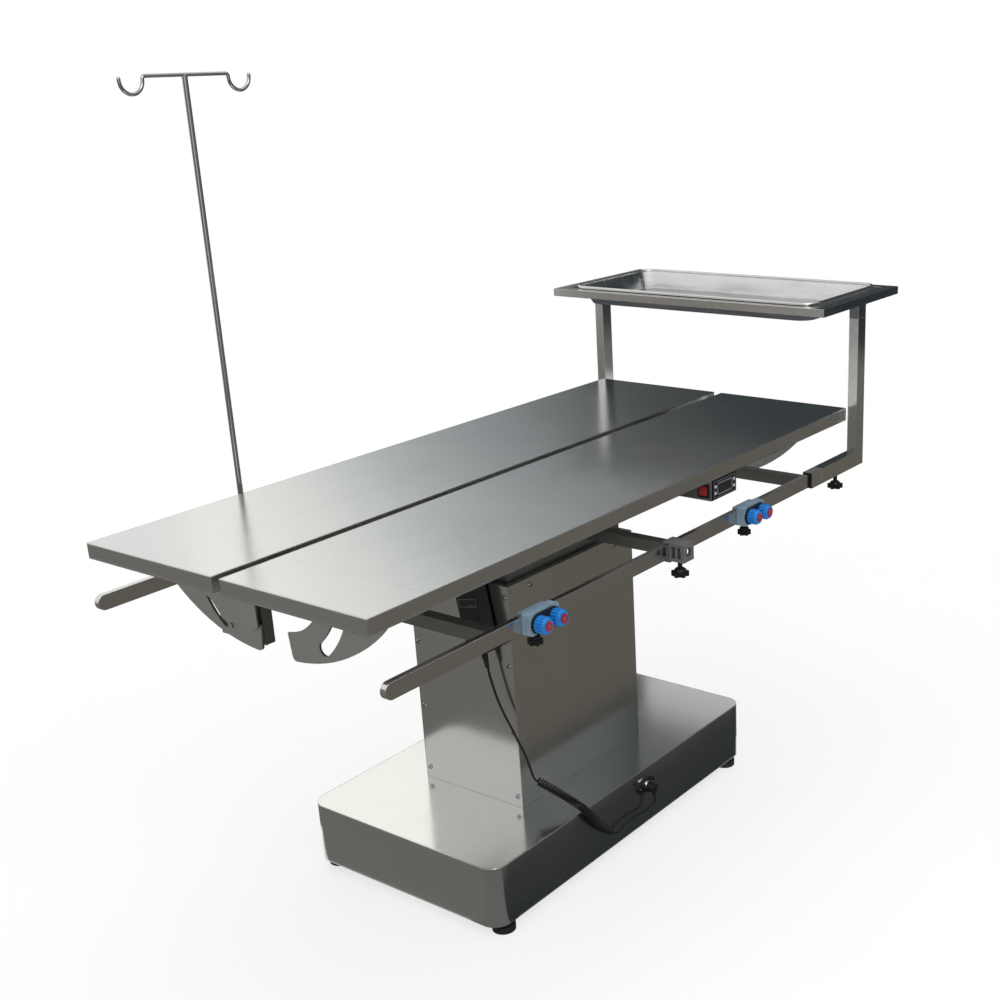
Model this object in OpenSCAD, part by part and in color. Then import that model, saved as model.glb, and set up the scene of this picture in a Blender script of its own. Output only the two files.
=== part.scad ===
// Two-panel surgery table on an electric lifting column.
// Lengths in millimetres, +X along the table to the instrument tray, -Y the clamp side.
// Sizes are worked out about the centre of the table top and then set to the part's origin.

/* [Table top] */
// Length of the table top
top_len = 1300; // [1260:10:1340]
// Width over both panels
top_w = 600; // [580:5:620]
// Width of the gutter between the panels
gap_w = 18; // [16:1:22]
// Height of a panel's folded edge
edge_h = 25; // [24:1:30]
// Height of the top above the floor when lowered
top_h = 690; // [680:5:720]
// Sheet thickness of the panels
skin_t = 1.5; // [1:0.5:2]
// Width of the rim folded in under a panel
rim_w = 12; // [8:1:16]
// Width of a stiffening channel under a panel
rib_w = 40; // [30:2:50]

/* [Hinges] */
// Distance from a panel's inner face to its hinge pin
hinge_inset = 10; // [9.5:0.5:12]
// Depth of the hinge pin below the top
hinge_drop = 14; // [13:0.5:15]
// Diameter of a hinge pin
pin_d = 8; // [6:0.5:9]
// Thickness of a fixed hinge ear
ear_t = 6; // [5:1:8]
// Thickness of a hinge leaf on a panel
leaf_t = 4; // [3:0.5:6]
// Radius of the rounded end of ears and leaves
ear_r = 8; // [7:0.5:8.5]
// Side play between ear and leaf
leaf_play = 0.5; // [0.3:0.1:1]
// Radial running clearance of pins and screws
run_c = 0.05; // [0.02:0.01:0.1]

/* [Tilt plates] */
// Distance of the tilt plates from the table's ends
fan_in = 90; // [80:5:100]
// Thickness of a tilt plate
fan_t = 4; // [3:0.5:5]
// Radius of the plate's outer edge
fan_r = 300; // [290:5:310]
// Height of the outer edge's centre above the hinge
fan_up = 163; // [158:1:168]
// Offset of the outer edge's centre from the hinge
fan_out = 3; // [0:1:6]
// Radius of the hollow round the middle beam
hollow_r = 94; // [88:1:100]
// Angle of a right plate's inner edge from straight down
fan_cut_deg = 7.5; // [5:0.5:12]
// Angle of a left plate's inner edge from straight down
fan_cut_left_deg = 5; // [4:0.5:12]
// Radius of the plate's lower corner
fan_corner_r = 8; // [4:1:10]
// Radius of the slot's centre line about the hinge
slot_r = 136; // [132:1:142]
// Width of the curved slot
slot_w = 22; // [18:0.5:24]
// Angle of the slot's lower end from straight down
slot_low_deg = 41; // [40:0.5:46]
// Largest tilt of a panel
tilt_max = 34; // [20:1:34]
// Thickness of the cross plate that carries the locks
lock_bar_t = 7; // [6:0.5:8]
// Height of the cross plate
lock_bar_h = 32; // [30:1:36]
// Play on both sides of a tilt plate
fan_play = 2; // [1:0.5:3]

/* [Frame and rails] */
// Width of the middle beam
beam_w = 54; // [48:2:58]
// Space between the panels and the middle beam
beam_drop = 16; // [15:1:20]
// Height of the middle beam
beam_h = 52; // [48:1:56]
// Wall of the middle beam
beam_wall = 3; // [2:0.5:5]
// Distance of the middle beam's ends from the table's ends
beam_in = 150; // [130:10:190]
// Width of a cross arm
arm_w = 20; // [16:1:26]
// Height of a cross arm
arm_h = 21; // [18:0.5:22]
// Distance of the outer cross arms' pitch from half the table's length
arm_in = 205; // [195:5:230]
// Offset of the middle cross arm from the table's middle
arm_off = 21; // [10:1:30]
// Thickness of a side rail
rail_t = 10; // [8:1:12]
// Height of a side rail
rail_h = 25; // [24:1:28]
// Distance of the rail's near end from the table's end
rail_near_in = 5; // [0:1:40]
// Distance of the rail's far end from the table's end
rail_far_in = 10; // [4:1:40]
// Clear distance between the two rails
rail_span = 610; // [600:5:640]

/* [Lift column] */
// Length of the column cover
col_len = 346; // [330:2:370]
// Width of the column cover
col_w = 228; // [220:2:250]
// Space between the column cover's rim and the cross arms
col_gap = 34; // [30:2:70]
// Thickness of the cover sheets
sheet_t = 1.5; // [1:0.5:2]
// Width of the folded rim at the top of the column
lip_w = 12; // [8:1:14]
// Leg of the corner angles inside the cover
angle_w = 13; // [10:1:14]
// Play between the rim and the inner sleeve
sleeve_play = 4.5; // [3:0.5:8]
// Height of the inner sleeve's lower end above the base
sleeve_up = 19; // [10:1:30]
// Outer size of the fixed guide tube
guide_w = 126; // [120:2:140]
// Wall of both guide tubes
guide_wall = 6; // [4:0.5:8]
// Hold of the inner guide in the fixed one at full height
guide_hold = 60; // [40:5:80]
// Depth of the fixed guide tube's end below the column's rim
guide_drop = 22; // [14:2:34]
// Diameter of the actuator's tube
tube_d = 60; // [54:2:70]
// Diameter of the actuator's rod
rod_d = 36; // [30:1:40]
// Depth of the actuator tube's end below the column's rim
tube_drop = 62; // [46:2:72]
// Stroke of the lift
lift_stroke = 300; // [200:10:300]

/* [Base] */
// Length of the base cover
base_len = 756; // [720:4:800]
// Width of the base cover
base_w = 432; // [412:4:444]
// Height of the base's upper face above the floor
base_top = 131; // [125:1:140]
// Height of the cover's lower edge above the floor
skirt_low = 20; // [16:1:26]
// Radius of the cover's upright corners
base_r = 31; // [25:1:40]
// Offset of the base from the table's middle
base_off = 21; // [10:1:30]
// Offset of the base towards the left side
base_side = 7; // [0:1:10]
// Offset of the column from the table's middle
col_off = 1; // [-4:1:6]
// Diameter of a levelling foot
foot_d = 40; // [34:1:46]
// Thickness of a foot's pad
foot_h = 12; // [8:1:14]
// Diameter of a foot's screw
foot_screw_d = 12; // [10:1:14]
// Inset of the feet from the base's ends
foot_in_x = 36; // [30:1:50]
// Inset of the feet from the base's sides
foot_in_y = 21; // [21:1:40]

/* [Tray] */
// Outer height of the tray support's tube
post_h = 30; // [29.5:0.5:32]
// Outer thickness of the tray support's tube
post_t = 20; // [18:1:24]
// Wall of the tray support's tube
post_wall = 2.2; // [1.8:0.1:2.2]
// Length of a sleeve on the rail, up to its post
sleeve_len = 179; // [160:1:190]
// Clearance between the table's end and a post
post_gap = 7; // [5:1:12]
// Height of the tray frame above the table top
tray_rise = 215; // [205:5:270]
// Width of the tray frame
tray_len = 310; // [290:5:330]
// Height of the tray frame's bars
bar_h = 15; // [12:1:18]
// Width of the tray frame's bars
bar_w = 25; // [20:1:26]
// Depth of the tray pan below the frame's upper face
pan_depth = 33; // [28:1:34]
// Bearing of the pan's rim on the frame's bars
pan_bear = 7; // [6:1:9]
// Diameter of the pan's rolled rim
bead_d = 6; // [5:0.5:7]
// Corner radius of the pan's rim
pan_r = 30; // [24:1:36]
// Inward slope of the pan's walls
pan_slope = 16; // [10:1:20]
// Sheet thickness of the pan
pan_t = 1.2; // [1:0.1:2]

/* [Clamps] */
// Length of a rope clamp's block
block_len = 68; // [64:1:76]
// Height of a rope clamp's block
block_h = 35; // [33:1:38]
// Thickness of a rope clamp's block
block_t = 16; // [14:1:20]
// Distance between the two rope rollers
cam_pitch = 35.2; // [34:0.2:38]
// Diameter of a rope roller
cam_d = 27; // [24:0.5:28]
// Length of a rope roller
cam_len = 17; // [14:1:20]
// Ribs round a rope roller
cam_ribs = 16; // [12:1:18]
// Width of a star knob
knob_d = 30; // [26:1:30]
// Width of a rope clamp's star knob
rope_knob_d = 24; // [20:1:26]
// Height of a star knob
knob_h = 13; // [10:1:15]
// Diameter of a clamp screw
screw_d = 8; // [6:0.5:9]
// Place of the first rope clamp along the rail
clamp_1_x = -338; // [-400:2:-300]
// Place of the second rope clamp along the rail
clamp_2_x = 248; // [220:2:300]
// Place of the accessory socket along the rail
socket_x = 18; // [0:1:40]
// Bore of the accessory socket
socket_d = 16; // [12:0.5:16]
// Length of the accessory socket's body
socket_len = 30; // [28:1:34]

/* [Drip stand] */
// Place of the stand along the rail
stand_x = -331; // [-400:1:-250]
// Diameter of the stand's pole
pole_d = 9; // [8:0.5:12]
// Height of the stand's cross rod above the table top
stand_rise = 660; // [560:10:760]
// Diameter of the cross rod
hook_d = 6; // [5:0.5:8]
// Length of the cross rod between its bends
cross_len = 160; // [140:5:200]
// Radius of a hook
hook_r = 20.5; // [16:0.5:26]

/* [Controls] */
// Width of the thermostat box
therm_w = 76; // [72:1:84]
// Height of the thermostat box
therm_h = 38; // [36:1:42]
// Depth of the thermostat box
therm_d = 90; // [70:1:100]
// Place of the thermostat box along the table
therm_x = 163; // [120:1:180]
// Width of the handset
hand_w = 48; // [44:1:54]
// Height of the handset
hand_h = 145; // [130:1:150]
// Lean of the handset in its holder, in degrees
hand_lean = 11; // [0:1:15]
// Thickness of the handset
hand_t = 26; // [22:1:30]
// Diameter of the handset's cord
cord_d = 3.4; // [3:0.1:3.6]
// Outer diameter of the cord's coil
coil_d = 15; // [14:0.5:15]

/* [Hidden] */
$fn = 64;
// One overrun for every cut
eps = 1;
// Gap where loose bodies rest against each other
seat = 0.3;
steel = [0.72, 0.72, 0.70];
dark = [0.10, 0.10, 0.11];
black = [0.05, 0.05, 0.06];
half_len = top_len / 2;
fan_x = half_len - fan_in;
beam_half = half_len - beam_in;
arm_pitch = half_len - arm_in;
rail_near = half_len - rail_near_in;
rail_far = half_len - rail_far_in;
tray_top = top_h + tray_rise;
stand_top = top_h + stand_rise;
under_z = top_h - edge_h;
hinge_y = gap_w / 2 + hinge_inset;
hinge_z = top_h - hinge_drop;
panel_w = (top_w - gap_w) / 2;
beam_top = under_z - beam_drop;
beam_low = beam_top - beam_h;
arm_low = beam_low - arm_h;
col_top = arm_low - col_gap;
guide_top = col_top - guide_drop;
tube_top = col_top - tube_drop;
sleeve_low = base_top + sleeve_up;
rail_z = arm_low + arm_h / 2;
rail_in = rail_span / 2;
rail_out = rail_in + rail_t;
rail_mid = rail_in + rail_t / 2;
lip_clear = 0.5;
ear_places = [-1.5, -0.5, 0.5, 1.5];
ear_end = 20;
ear_pitch = (beam_half - ear_end) / ear_places[3];
ear_web = 11;
notch_play = 1;
notch_h = 6;
slot_spare_deg = 1;
corner_steps = 5;
lock_deg = slot_low_deg + tilt_max + 1.5 * slot_spare_deg;
lock_low = under_z - seat - lock_bar_h;
stud_d = slot_w - 1;
stud_screw_d = 12;
lock_knob_t = 24;
lock_knob_d = 34;
bracket_t = 3;
bracket_w = 100;
bracket_drop = 102;
bracket_low = beam_top - bracket_drop;
bracket_deep = 18;
stem_w = 58;
stem_drop = 15;
guard_t = 3;
guard_w = 145;
guard_h = 99;
guard_shares = [[0, 0.86], [0.08, 0.94], [0.48, 0.93], [0.56, 0.86], [0.71, 0.6], [1, 0.4], [1, 0], [0, 0]];
guard_bolt_shares = [0.42, 0.95];
guard_bolt_d = 9;
link_w = 26;
link_h = 40;
head_len = 200;
head_w = 120;
tube_low = 140;
rod_low = 150;
chassis_low = 30;
chassis_h = 40;
chassis_w = 50;
chassis_in = 40;
chassis_gap = 12;
plate_h = 8;
plate_w = 220;
gear_w = 80;
gear_h = 36;
motor_d = 34;
motor_len = 120;
post_w = 20;
foot_neck = 5;
screw_head_d = 9;
screw_head_h = 2.5;
screw_in = 10;
screw_shares = [0.05, 0.35, 0.65, 0.95];
screw_side_x = 117;
screw_side_drop = 13;
tray_mid = half_len + post_gap + post_h / 2;
sleeve_x = half_len + post_gap - sleeve_len;
gusset = 22;
gusset_t = 3;
pan_end_in = 32;
flange_h = 1.5;
tray_knob_in = 112;
tray_knob_x = sleeve_x + tray_knob_in;
block_r = 6;
block_up = 2;
flange_t = 3.2;
boss_w = 24;
boss_h = 7;
lip_t = 1.7;
pad_t = 4;
pad_h = 31;
pad_len = 64;
cam_up = 1.5;
axle_d = 8;
cap_d = 15;
cap_t = 2;
rib_r = 1.1;
cam_nose = 4;
cam_nose_d = 22;
knob_core = 0.74;
knob_lobes = 6;
knob_drop = 15;
rope_knob_drop = 8;
socket_deep = 30;
socket_wall = 4;
socket_slot_w = 7;
socket_slot_h = 20;
socket_slots = [9, 20];
socket_knob_out = 12;
stand_out = 20;
stand_body_x = 34;
stand_body_y = 34;
stand_floor = 8;
bend_r = 5;
hook_tip = 2;
cross_off = 3;
bezel_t = 3;
bezel_h = 34.5;
bezel_w = 75;
switch_w = 16;
switch_h = 18;
switch_t = 4;
switch_rim = 2.5;
switch_y = 281;
switch_up = 17;
switch_z = under_z - therm_h + switch_up;
holder_t = 3.7;
holder_w = 30;
holder_h = 46;
holder_lip = 7;
holder_cap = 2;
hand_y = -37.5;
hand_up = 25;
hand_top = col_top + hand_up;
hand_low = hand_top - hand_h;
holder_y = hand_y - (hand_up + holder_h / 2) * tan(hand_lean);
hand_r = 6;
key_d = 12;
key_out = 1.5;
key_in = 1.7;
key_play = 0.3;
key_drops = [110, 128];
relief_d = 11;
relief_end_d = 7;
relief_len = 30;
relief_ribs = 4;
relief_rib_d = 12;
relief_rib_t = 2;
plug_x = 60;
plug_z = 97;
plug_d = 17;
plug_len = 20;
stub_d = 8;
stub_x = 3;
stub_len = 14;
stub_y = 14;
ring_d = 22;
ring_len = 9;
flange_len = 52;
flange_w = 24;
flange_thick = 3;
socket_screw_d = 6;
inlet_w = 48;
inlet_h = 28;
inlet_t = 3;
inlet_cup_w = 28;
inlet_cup_h = 20;
inlet_pin_w = 2;
inlet_pin_l = 14;
inlet_z = 75;

// Reach of the whole part, from which its origin is set under its middle
reach_near = max(rail_near, half_len);
reach_far = tray_mid + tray_len / 2;
reach_right = rail_out + block_t + pad_t + seat + cam_len + cap_t;
reach_left = rail_out + stand_body_y;
org_x = (reach_far - reach_near) / 2;
org_y = (reach_left - reach_right) / 2;

module placed() {
    translate([-org_x, -org_y, 0]) children();
}

// Box given by its two corners
module span(a, b) {
    translate(a) cube(b - a);
}

// Rounded rectangle about the origin with true arcs
module rrect(w, h, r) {
    square([w - 2 * r, h], center = true);
    square([w, h - 2 * r], center = true);
    for (i = [-1, 1], j = [-1, 1])
        translate([i * (w / 2 - r), j * (h / 2 - r)]) circle(r);
}

// Square tube along X, Y or Z is cut from a box by a smaller one
module box_tube(size, wall, open) {
    difference() {
        cube(size, center = true);
        cube([for (i = [0, 1, 2]) size[i] + (open == i ? 2 * eps : -2 * wall)], center = true);
    }
}

// Outline in the Y-Z plane becomes a plate of thickness t that starts at x
module yz_plate(x, t) {
    translate([x, 0, 0]) rotate([90, 0, 90]) linear_extrude(t) children();
}

// Outline in the X-Z plane becomes a plate from y outwards to -Y
module xz_plate(y, t) {
    translate([0, -y, 0]) rotate([90, 0, 0]) linear_extrude(t) children();
}

module x_rod(x, y, z, d, len) {
    translate([x, y, z]) rotate([0, 90, 0]) cylinder(d = d, h = len);
}

module y_rod(x, y, z, d, len) {
    translate([x, -y, z]) rotate([90, 0, 0]) cylinder(d = d, h = len);
}

module z_rod(x, y, z, d, len) {
    translate([x, y, z]) cylinder(d = d, h = len);
}

// Base: cover, chassis and feet

module base_outline(inset) {
    translate([base_off, base_side]) rrect(base_len - 2 * inset, base_w - 2 * inset, base_r - inset);
}

module base_cover() {
    color(steel) difference() {
        translate([0, 0, skirt_low]) linear_extrude(base_top - skirt_low) base_outline(0);
        translate([0, 0, skirt_low - eps])
            linear_extrude(base_top - skirt_low + eps - sheet_t) base_outline(sheet_t);
        translate([col_off, 0, base_top])
            cube([col_len - 2 * lip_w, col_w - 2 * lip_w, 2 * sheet_t + eps], center = true);
    }
}

function foot_at(i, j) =
    [base_off + i * (base_len / 2 - foot_in_x), base_side + j * (base_w / 2 - foot_in_y)];

module base_frame() {
    rail_y = base_w / 2 - chassis_in;
    inner_l = base_len - 2 * sheet_t - 2 * chassis_gap;
    color(dark) difference() {
        union() {
            for (j = [-1, 1])
                translate([base_off, base_side + j * rail_y, chassis_low + chassis_h / 2])
                    box_tube([inner_l, chassis_w, chassis_h], beam_wall, 0);
            for (i = [-1, 1])
                translate([col_off + i * (plate_w - chassis_w) / 2, base_side, chassis_low + chassis_h / 2])
                    box_tube([chassis_w, 2 * rail_y - chassis_w, chassis_h], beam_wall, 1);
            translate([col_off - plate_w / 2, -plate_w / 2, chassis_low + chassis_h])
                cube([plate_w, plate_w, plate_h]);
            for (i = [-1, 1], j = [-1, 1])
                translate([base_off + i * (inner_l - post_w) / 2, base_side + j * rail_y,
                           chassis_low + chassis_h])
                    translate([-post_w / 2, -post_w / 2, 0])
                        cube([post_w, post_w, base_top - sheet_t - chassis_low - chassis_h]);
            for (i = [-1, 1], j = [-1, 1])
                translate(concat(foot_at(i, j), [chassis_low]))
                    cylinder(d = foot_screw_d + 2 * foot_neck, h = chassis_h);
        }
        for (i = [-1, 1], j = [-1, 1])
            translate(concat(foot_at(i, j), [chassis_low - eps]))
                cylinder(d = foot_screw_d + 2 * run_c, h = chassis_h + 2 * eps);
        z_rod(col_off, 0, chassis_low, tube_d + 2 * seat, chassis_h + plate_h + eps);
    }
}

module foot(i, j) {
    color(black) translate(concat(foot_at(i, j), [0])) {
        cylinder(d = foot_d, h = foot_h);
        cylinder(d = foot_screw_d, h = chassis_low + chassis_h);
        translate([0, 0, foot_h]) cylinder(d1 = foot_d - 2 * foot_neck, d2 = foot_screw_d, h = foot_neck);
    }
}

module foot_near_right() {
    foot(-1, -1);
}

module foot_near_left() {
    foot(-1, 1);
}

module foot_far_right() {
    foot(1, -1);
}

module foot_far_left() {
    foot(1, 1);
}

// Column: cover sheets, corner angles and fixed guide

col_h = col_top - base_top;

module column_ends() {
    color(steel) for (i = [-1, 1])
        translate([col_off, 0, base_top]) mirror([i < 0 ? 1 : 0, 0, 0]) {
            span([col_len / 2 - sheet_t, -col_w / 2 + sheet_t, 0], [col_len / 2, col_w / 2 - sheet_t, col_h]);
            span([col_len / 2 - lip_w, -col_w / 2 + lip_w, col_h - sheet_t],
                 [col_len / 2, col_w / 2 - lip_w, col_h]);
        }
}

module column_sides() {
    color(steel) for (j = [-1, 1])
        translate([col_off, 0, base_top]) mirror([0, j < 0 ? 1 : 0, 0]) {
            span([-col_len / 2, col_w / 2 - sheet_t, 0], [col_len / 2, col_w / 2, col_h]);
            span([-col_len / 2 + sheet_t, col_w / 2 - lip_w, col_h - sheet_t],
                 [col_len / 2 - sheet_t, col_w / 2, col_h]);
        }
}

module column_frame() {
    angle_h = col_h - sheet_t;
    color(dark) {
        for (i = [0, 1], j = [0, 1])
            translate([col_off, 0, base_top]) mirror([i, 0, 0]) mirror([0, j, 0])
                difference() {
                    span([col_len / 2 - sheet_t - angle_w, col_w / 2 - sheet_t - angle_w, 0],
                         [col_len / 2 - sheet_t, col_w / 2 - sheet_t, angle_h]);
                    span([col_len / 2 - sheet_t - angle_w - eps, col_w / 2 - sheet_t - angle_w - eps, -eps],
                         [col_len / 2 - 2 * sheet_t, col_w / 2 - 2 * sheet_t, angle_h + eps]);
                }
        guide_low = chassis_low + chassis_h + plate_h;
        translate([col_off, 0, (guide_top + guide_low) / 2])
            box_tube([guide_w, guide_w, guide_top - guide_low], guide_wall, 2);
    }
}

module screw_head(r) {
    rotate(r) {
        cylinder(d = screw_head_d, h = screw_head_h / 2);
        translate([0, 0, screw_head_h / 2])
            cylinder(d1 = screw_head_d, d2 = screw_head_d - screw_head_h, h = screw_head_h / 2);
    }
}

module column_screws() {
    color(steel) translate([col_off, 0, base_top]) {
        for (i = [-1, 1], j = [-1, 1], k = screw_shares)
            translate([i * col_len / 2, j * (col_w / 2 - screw_in), k * col_h]) screw_head([0, i * 90, 0]);
        for (i = [-1, 1], j = [-1, 1])
            translate([i * screw_side_x, j * col_w / 2, col_h - screw_side_drop])
                screw_head([-j * 90, 0, 0]);
    }
}

module actuator_body() {
    gear_low = chassis_low + chassis_h - gear_h;
    color(dark) difference() {
        union() {
            z_rod(col_off, 0, gear_low, tube_d, tube_top - gear_low);
            translate([col_off - gear_w / 2, -gear_w / 2, gear_low]) cube([gear_w, gear_w, gear_h]);
            y_rod(col_off, gear_w / 2, gear_low + gear_h / 2, motor_d, motor_len - gear_w / 2);
        }
        z_rod(col_off, 0, tube_low, rod_d + 2 * run_c, tube_top - tube_low + eps);
    }
}

// Distance of the base's right side from the table's middle
base_y = base_w / 2 - base_side;

module base_sockets() {
    color(black) {
        difference() {
            translate([plug_x, 0, plug_z]) xz_plate(base_y, flange_thick)
                rrect(flange_len, flange_w, flange_w / 2 - seat);
            y_rod(plug_x, base_y - eps, plug_z, ring_d, flange_thick + 2 * eps);
        }
        far_x = base_off + base_len / 2;
        difference() {
            translate([0, 0, inlet_z]) yz_plate(far_x, inlet_t) rrect(inlet_w, inlet_h, foot_neck);
            span([far_x + inlet_t / 3, -inlet_cup_w / 2, inlet_z - inlet_cup_h / 2],
                 [far_x + inlet_t + eps, inlet_cup_w / 2, inlet_z + inlet_cup_h / 2]);
        }
    }
}

module socket_ring() {
    color(steel) difference() {
        y_rod(plug_x, base_y, plug_z, ring_d, ring_len);
        y_rod(plug_x, base_y + flange_thick, plug_z, plug_d + 2 * seat, ring_len);
    }
    color(steel) for (s = [-1, 1])
        y_rod(plug_x + s * (flange_len - flange_w / 2 - screw_head_h) / 2, base_y + flange_thick, plug_z,
            socket_screw_d, screw_head_h);
}

// Handset with its holder, keys and strain relief

hand_x = col_off - col_len / 2 - holder_t;

module handset_holder() {
    rim_x = col_off - col_len / 2;
    color(steel) translate([0, holder_y, 0]) {
        span([rim_x - holder_t, -holder_w / 2, col_top - holder_h], [rim_x, holder_w / 2, col_top]);
        span([rim_x - holder_t, -holder_w / 2, col_top],
             [rim_x + holder_lip, holder_w / 2, col_top + holder_cap]);
    }
}

// Turns what hangs upright about the middle of the handset's upper end
module leaning() {
    translate([0, hand_y, hand_top]) rotate([-hand_lean, 0, 0]) translate([0, -hand_y, -hand_top]) children();
}

module hand_outline() {
    rrect(hand_w, hand_h, hand_r);
}

module handset_shell() {
    color(black) leaning() difference() {
        translate([0, hand_y, hand_low + hand_h / 2])
            yz_plate(hand_x - hand_t, hand_t) hand_outline();
        for (k = key_drops)
            x_rod(hand_x - hand_t - eps, hand_y, hand_low + hand_h - k, key_d + 2 * key_play,
                key_in + key_out + seat + eps);
    }
}

module hand_key(k) {
    color(dark) leaning() x_rod(hand_x - hand_t - key_out, hand_y, hand_low + hand_h - k, key_d, key_out + key_in);
}

module key_up() {
    hand_key(key_drops[0]);
}

module key_down() {
    hand_key(key_drops[1]);
}

module strain_relief() {
    rib_step = relief_len / 2 / relief_ribs;
    color(black) leaning() translate([hand_x - hand_t / 2, hand_y, hand_low]) mirror([0, 0, 1]) {
        cylinder(d1 = relief_d, d2 = relief_end_d, h = relief_len);
        for (i = [0 : relief_ribs - 1])
            translate([0, 0, i * rib_step])
                cylinder(d = relief_rib_d - i * (relief_d - relief_end_d) / relief_ribs / 2,
                         h = relief_rib_t);
    }
}

// Handset cord: an even tube through chosen points, and a coil wound round its own line

function cat(p, q, r, s, t) =
    ((2 * q) + (r - p) * t + (2 * p - 5 * q + 4 * r - s) * t * t + (3 * q - p - 3 * r + s) * t * t * t) / 2;
function at_pts(P, u) =
    let (n = len(P) - 1, i = min(floor(u), n - 1), t = u - i)
    cat(i == 0 ? 2 * P[0] - P[1] : P[i - 1], P[i], P[i + 1], i + 2 > n ? 2 * P[n] - P[n - 1] : P[i + 2], t);
function unit(v) = v / norm(v);
// Frame carried along a line without twist
function carry(L, i, n0) =
    i == 0 ? [n0] :
    let (F = carry(L, i - 1, n0), d = unit(L[min(i + 1, len(L) - 1)] - L[max(i - 1, 0)]), v = F[len(F) - 1])
    concat(F, [unit(v - (v * d) * d)]);
function tangents(L) = [for (i = [0 : len(L) - 1]) unit(L[min(i + 1, len(L) - 1)] - L[max(i - 1, 0)])];

module tube_along(L, r, sides) {
    T = tangents(L);
    N = carry(L, len(L) - 1, unit(cross(T[0], [0, 1, 1])));
    m = len(L);
    ring = [for (i = [0 : m - 1]) let (b = cross(T[i], N[i]))
        for (k = [0 : sides - 1]) L[i] + r * (cos(360 * k / sides) * N[i] + sin(360 * k / sides) * b)];
    quads = [for (i = [0 : m - 2], k = [0 : sides - 1])
        let (a = i * sides + k, b = i * sides + (k + 1) % sides)
        for (f = [[a, a + sides, b], [b, a + sides, b + sides]]) f];
    caps = [for (k = [1 : sides - 2]) each
        [[0, k, k + 1], [(m - 1) * sides, (m - 1) * sides + k + 1, (m - 1) * sides + k]]];
    polyhedron(points = ring, faces = concat(quads, caps), convexity = 10);
}

coil_low = [-55, -217, 58];
coil_high = [-158, -131, 188];
upper_points = [[-187.7, -71, 395], [-187.7, -74, 379], [-187, -85, 344], [-186, -97, 317], [-184, -117, 281],
    [-180, -133, 246], [-169, -134, 214], coil_high];
// The cord's upper end follows the handset
hand_reach = hand_h + relief_len;
upper_shift = [0, hand_y - hand_reach * sin(hand_lean) - upper_points[0][1],
    hand_top - hand_reach * cos(hand_lean) - upper_points[0][2]];
upper_n = len(upper_points) - 1;
upper_route = [for (i = [0 : upper_n]) upper_points[i] + upper_shift * (1 - i / upper_n)];
coil_route = [coil_high, [-149, -164, 173], [-140, -192, 158], [-130, -212, 142], [-118, -221, 123],
    [-102, -222, 103], [-80, -220, 80], coil_low];
lower_route = [coil_low, [-48, -216, 50], [-38, -217, 49], [-25, -218, 55], [5, -218, 57], [38, -218, 54],
    [60, -220, 57], [68, -224, 68], [63, -226, 83]];
coil_turns = 44;
coil_ring = 8;
// Rings of the straight leads and their step
lead = 2;
lead_step = 2.1;
open_share = 1.6;

// Even steps along a line of fine points
function fine(P, n) = [for (i = [0 : n]) at_pts(P, (len(P) - 1) * i / n)];
function lens(L, i = 0, s = 0) =
    i >= len(L) - 1 ? [s] : concat([s], lens(L, i + 1, s + norm(L[i + 1] - L[i])));
function at_way(L, S, d) =
    let (k = min(search_le(S, d, 0, len(S) - 1), len(S) - 2))
    L[k] + (L[k + 1] - L[k]) * (d - S[k]) / (S[k + 1] - S[k]);
function even(L, S, n) = [for (i = [0 : n]) at_way(L, S, S[len(S) - 1] * i / n)];
function search_le(S, d, a, b) =
    b - a <= 1 ? a : let (m = floor((a + b) / 2)) S[m] <= d ? search_le(S, d, m, b) : search_le(S, d, a, m);

module cord_run(P) {
    F = fine(P, 160);
    S = lens(F);
    n = round(S[len(S) - 1] / (2 * cord_d));
    color(black) tube_along(even(F, S, n), cord_d / 2, 8);
}

module cord_upper() {
    cord_run(upper_route);
}

module cord_lower() {
    cord_run(lower_route);
}

coil_fine = fine(coil_route, 200);
coil_len_at = lens(coil_fine);
coil_n = coil_turns * coil_ring + 2 * lead;
// Way along the line at each ring: straight leads, a long first and last turn, then even turns
coil_step = (coil_len_at[len(coil_len_at) - 1] - 2 * lead * lead_step)
    / (coil_turns * coil_ring + 2 * coil_ring * (open_share - 1));
function ring_step(i) =
    i < lead || i >= coil_n - lead ? lead_step :
    i < lead + coil_ring || i >= coil_n - lead - coil_ring ? coil_step * open_share : coil_step;
coil_way = [for (i = 0, d = 0; i <= coil_n; d = d + ring_step(i), i = i + 1) d];
coil_axis = [for (d = coil_way) at_way(coil_fine, coil_len_at, min(d, coil_len_at[len(coil_len_at) - 1]))];
coil_tan = tangents(coil_axis);
coil_nor = carry_all(coil_tan);
function carry_all(T) =
    [for (i = 0, v = unit(cross(T[0], [0, 1, 1])); i < len(T); i = i + 1,
        v = i < len(T) ? unit(v - (v * T[i]) * T[i]) : v) v];
coil_r = (coil_d - cord_d) / 2;
// The winding opens out from the line over its first and last turn
function coil_grow(i) = max(0, min(1, (i - lead) / coil_ring * 2, (coil_n - lead - i) / coil_ring * 2));
coil_points = [for (i = [0 : coil_n])
    let (g = coil_grow(i), a = 360 * (i - lead) / coil_ring)
    coil_axis[i] + coil_r * g * (cos(a) * coil_nor[i] + sin(a) * cross(coil_tan[i], coil_nor[i]))];
// Least gap of the winding to itself, on its points more than half a turn apart
coil_gap = min([for (i = [0 : coil_n], j = [i + 5 : min(i + 20, coil_n)]) if (j <= coil_n)
    near_gap(coil_points[i], coil_points[j], coil_points[min(j + 1, coil_n)])]) - cord_d;
function near_gap(p, a, b) =
    norm(b - a) == 0 ? norm(p - a) :
    let (t = max(0, min(1, (p - a) * (b - a) / ((b - a) * (b - a))))) norm(p - a - t * (b - a));
echo(least_coil_gap = coil_gap, coil_length = coil_len_at[len(coil_len_at) - 1]);

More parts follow.
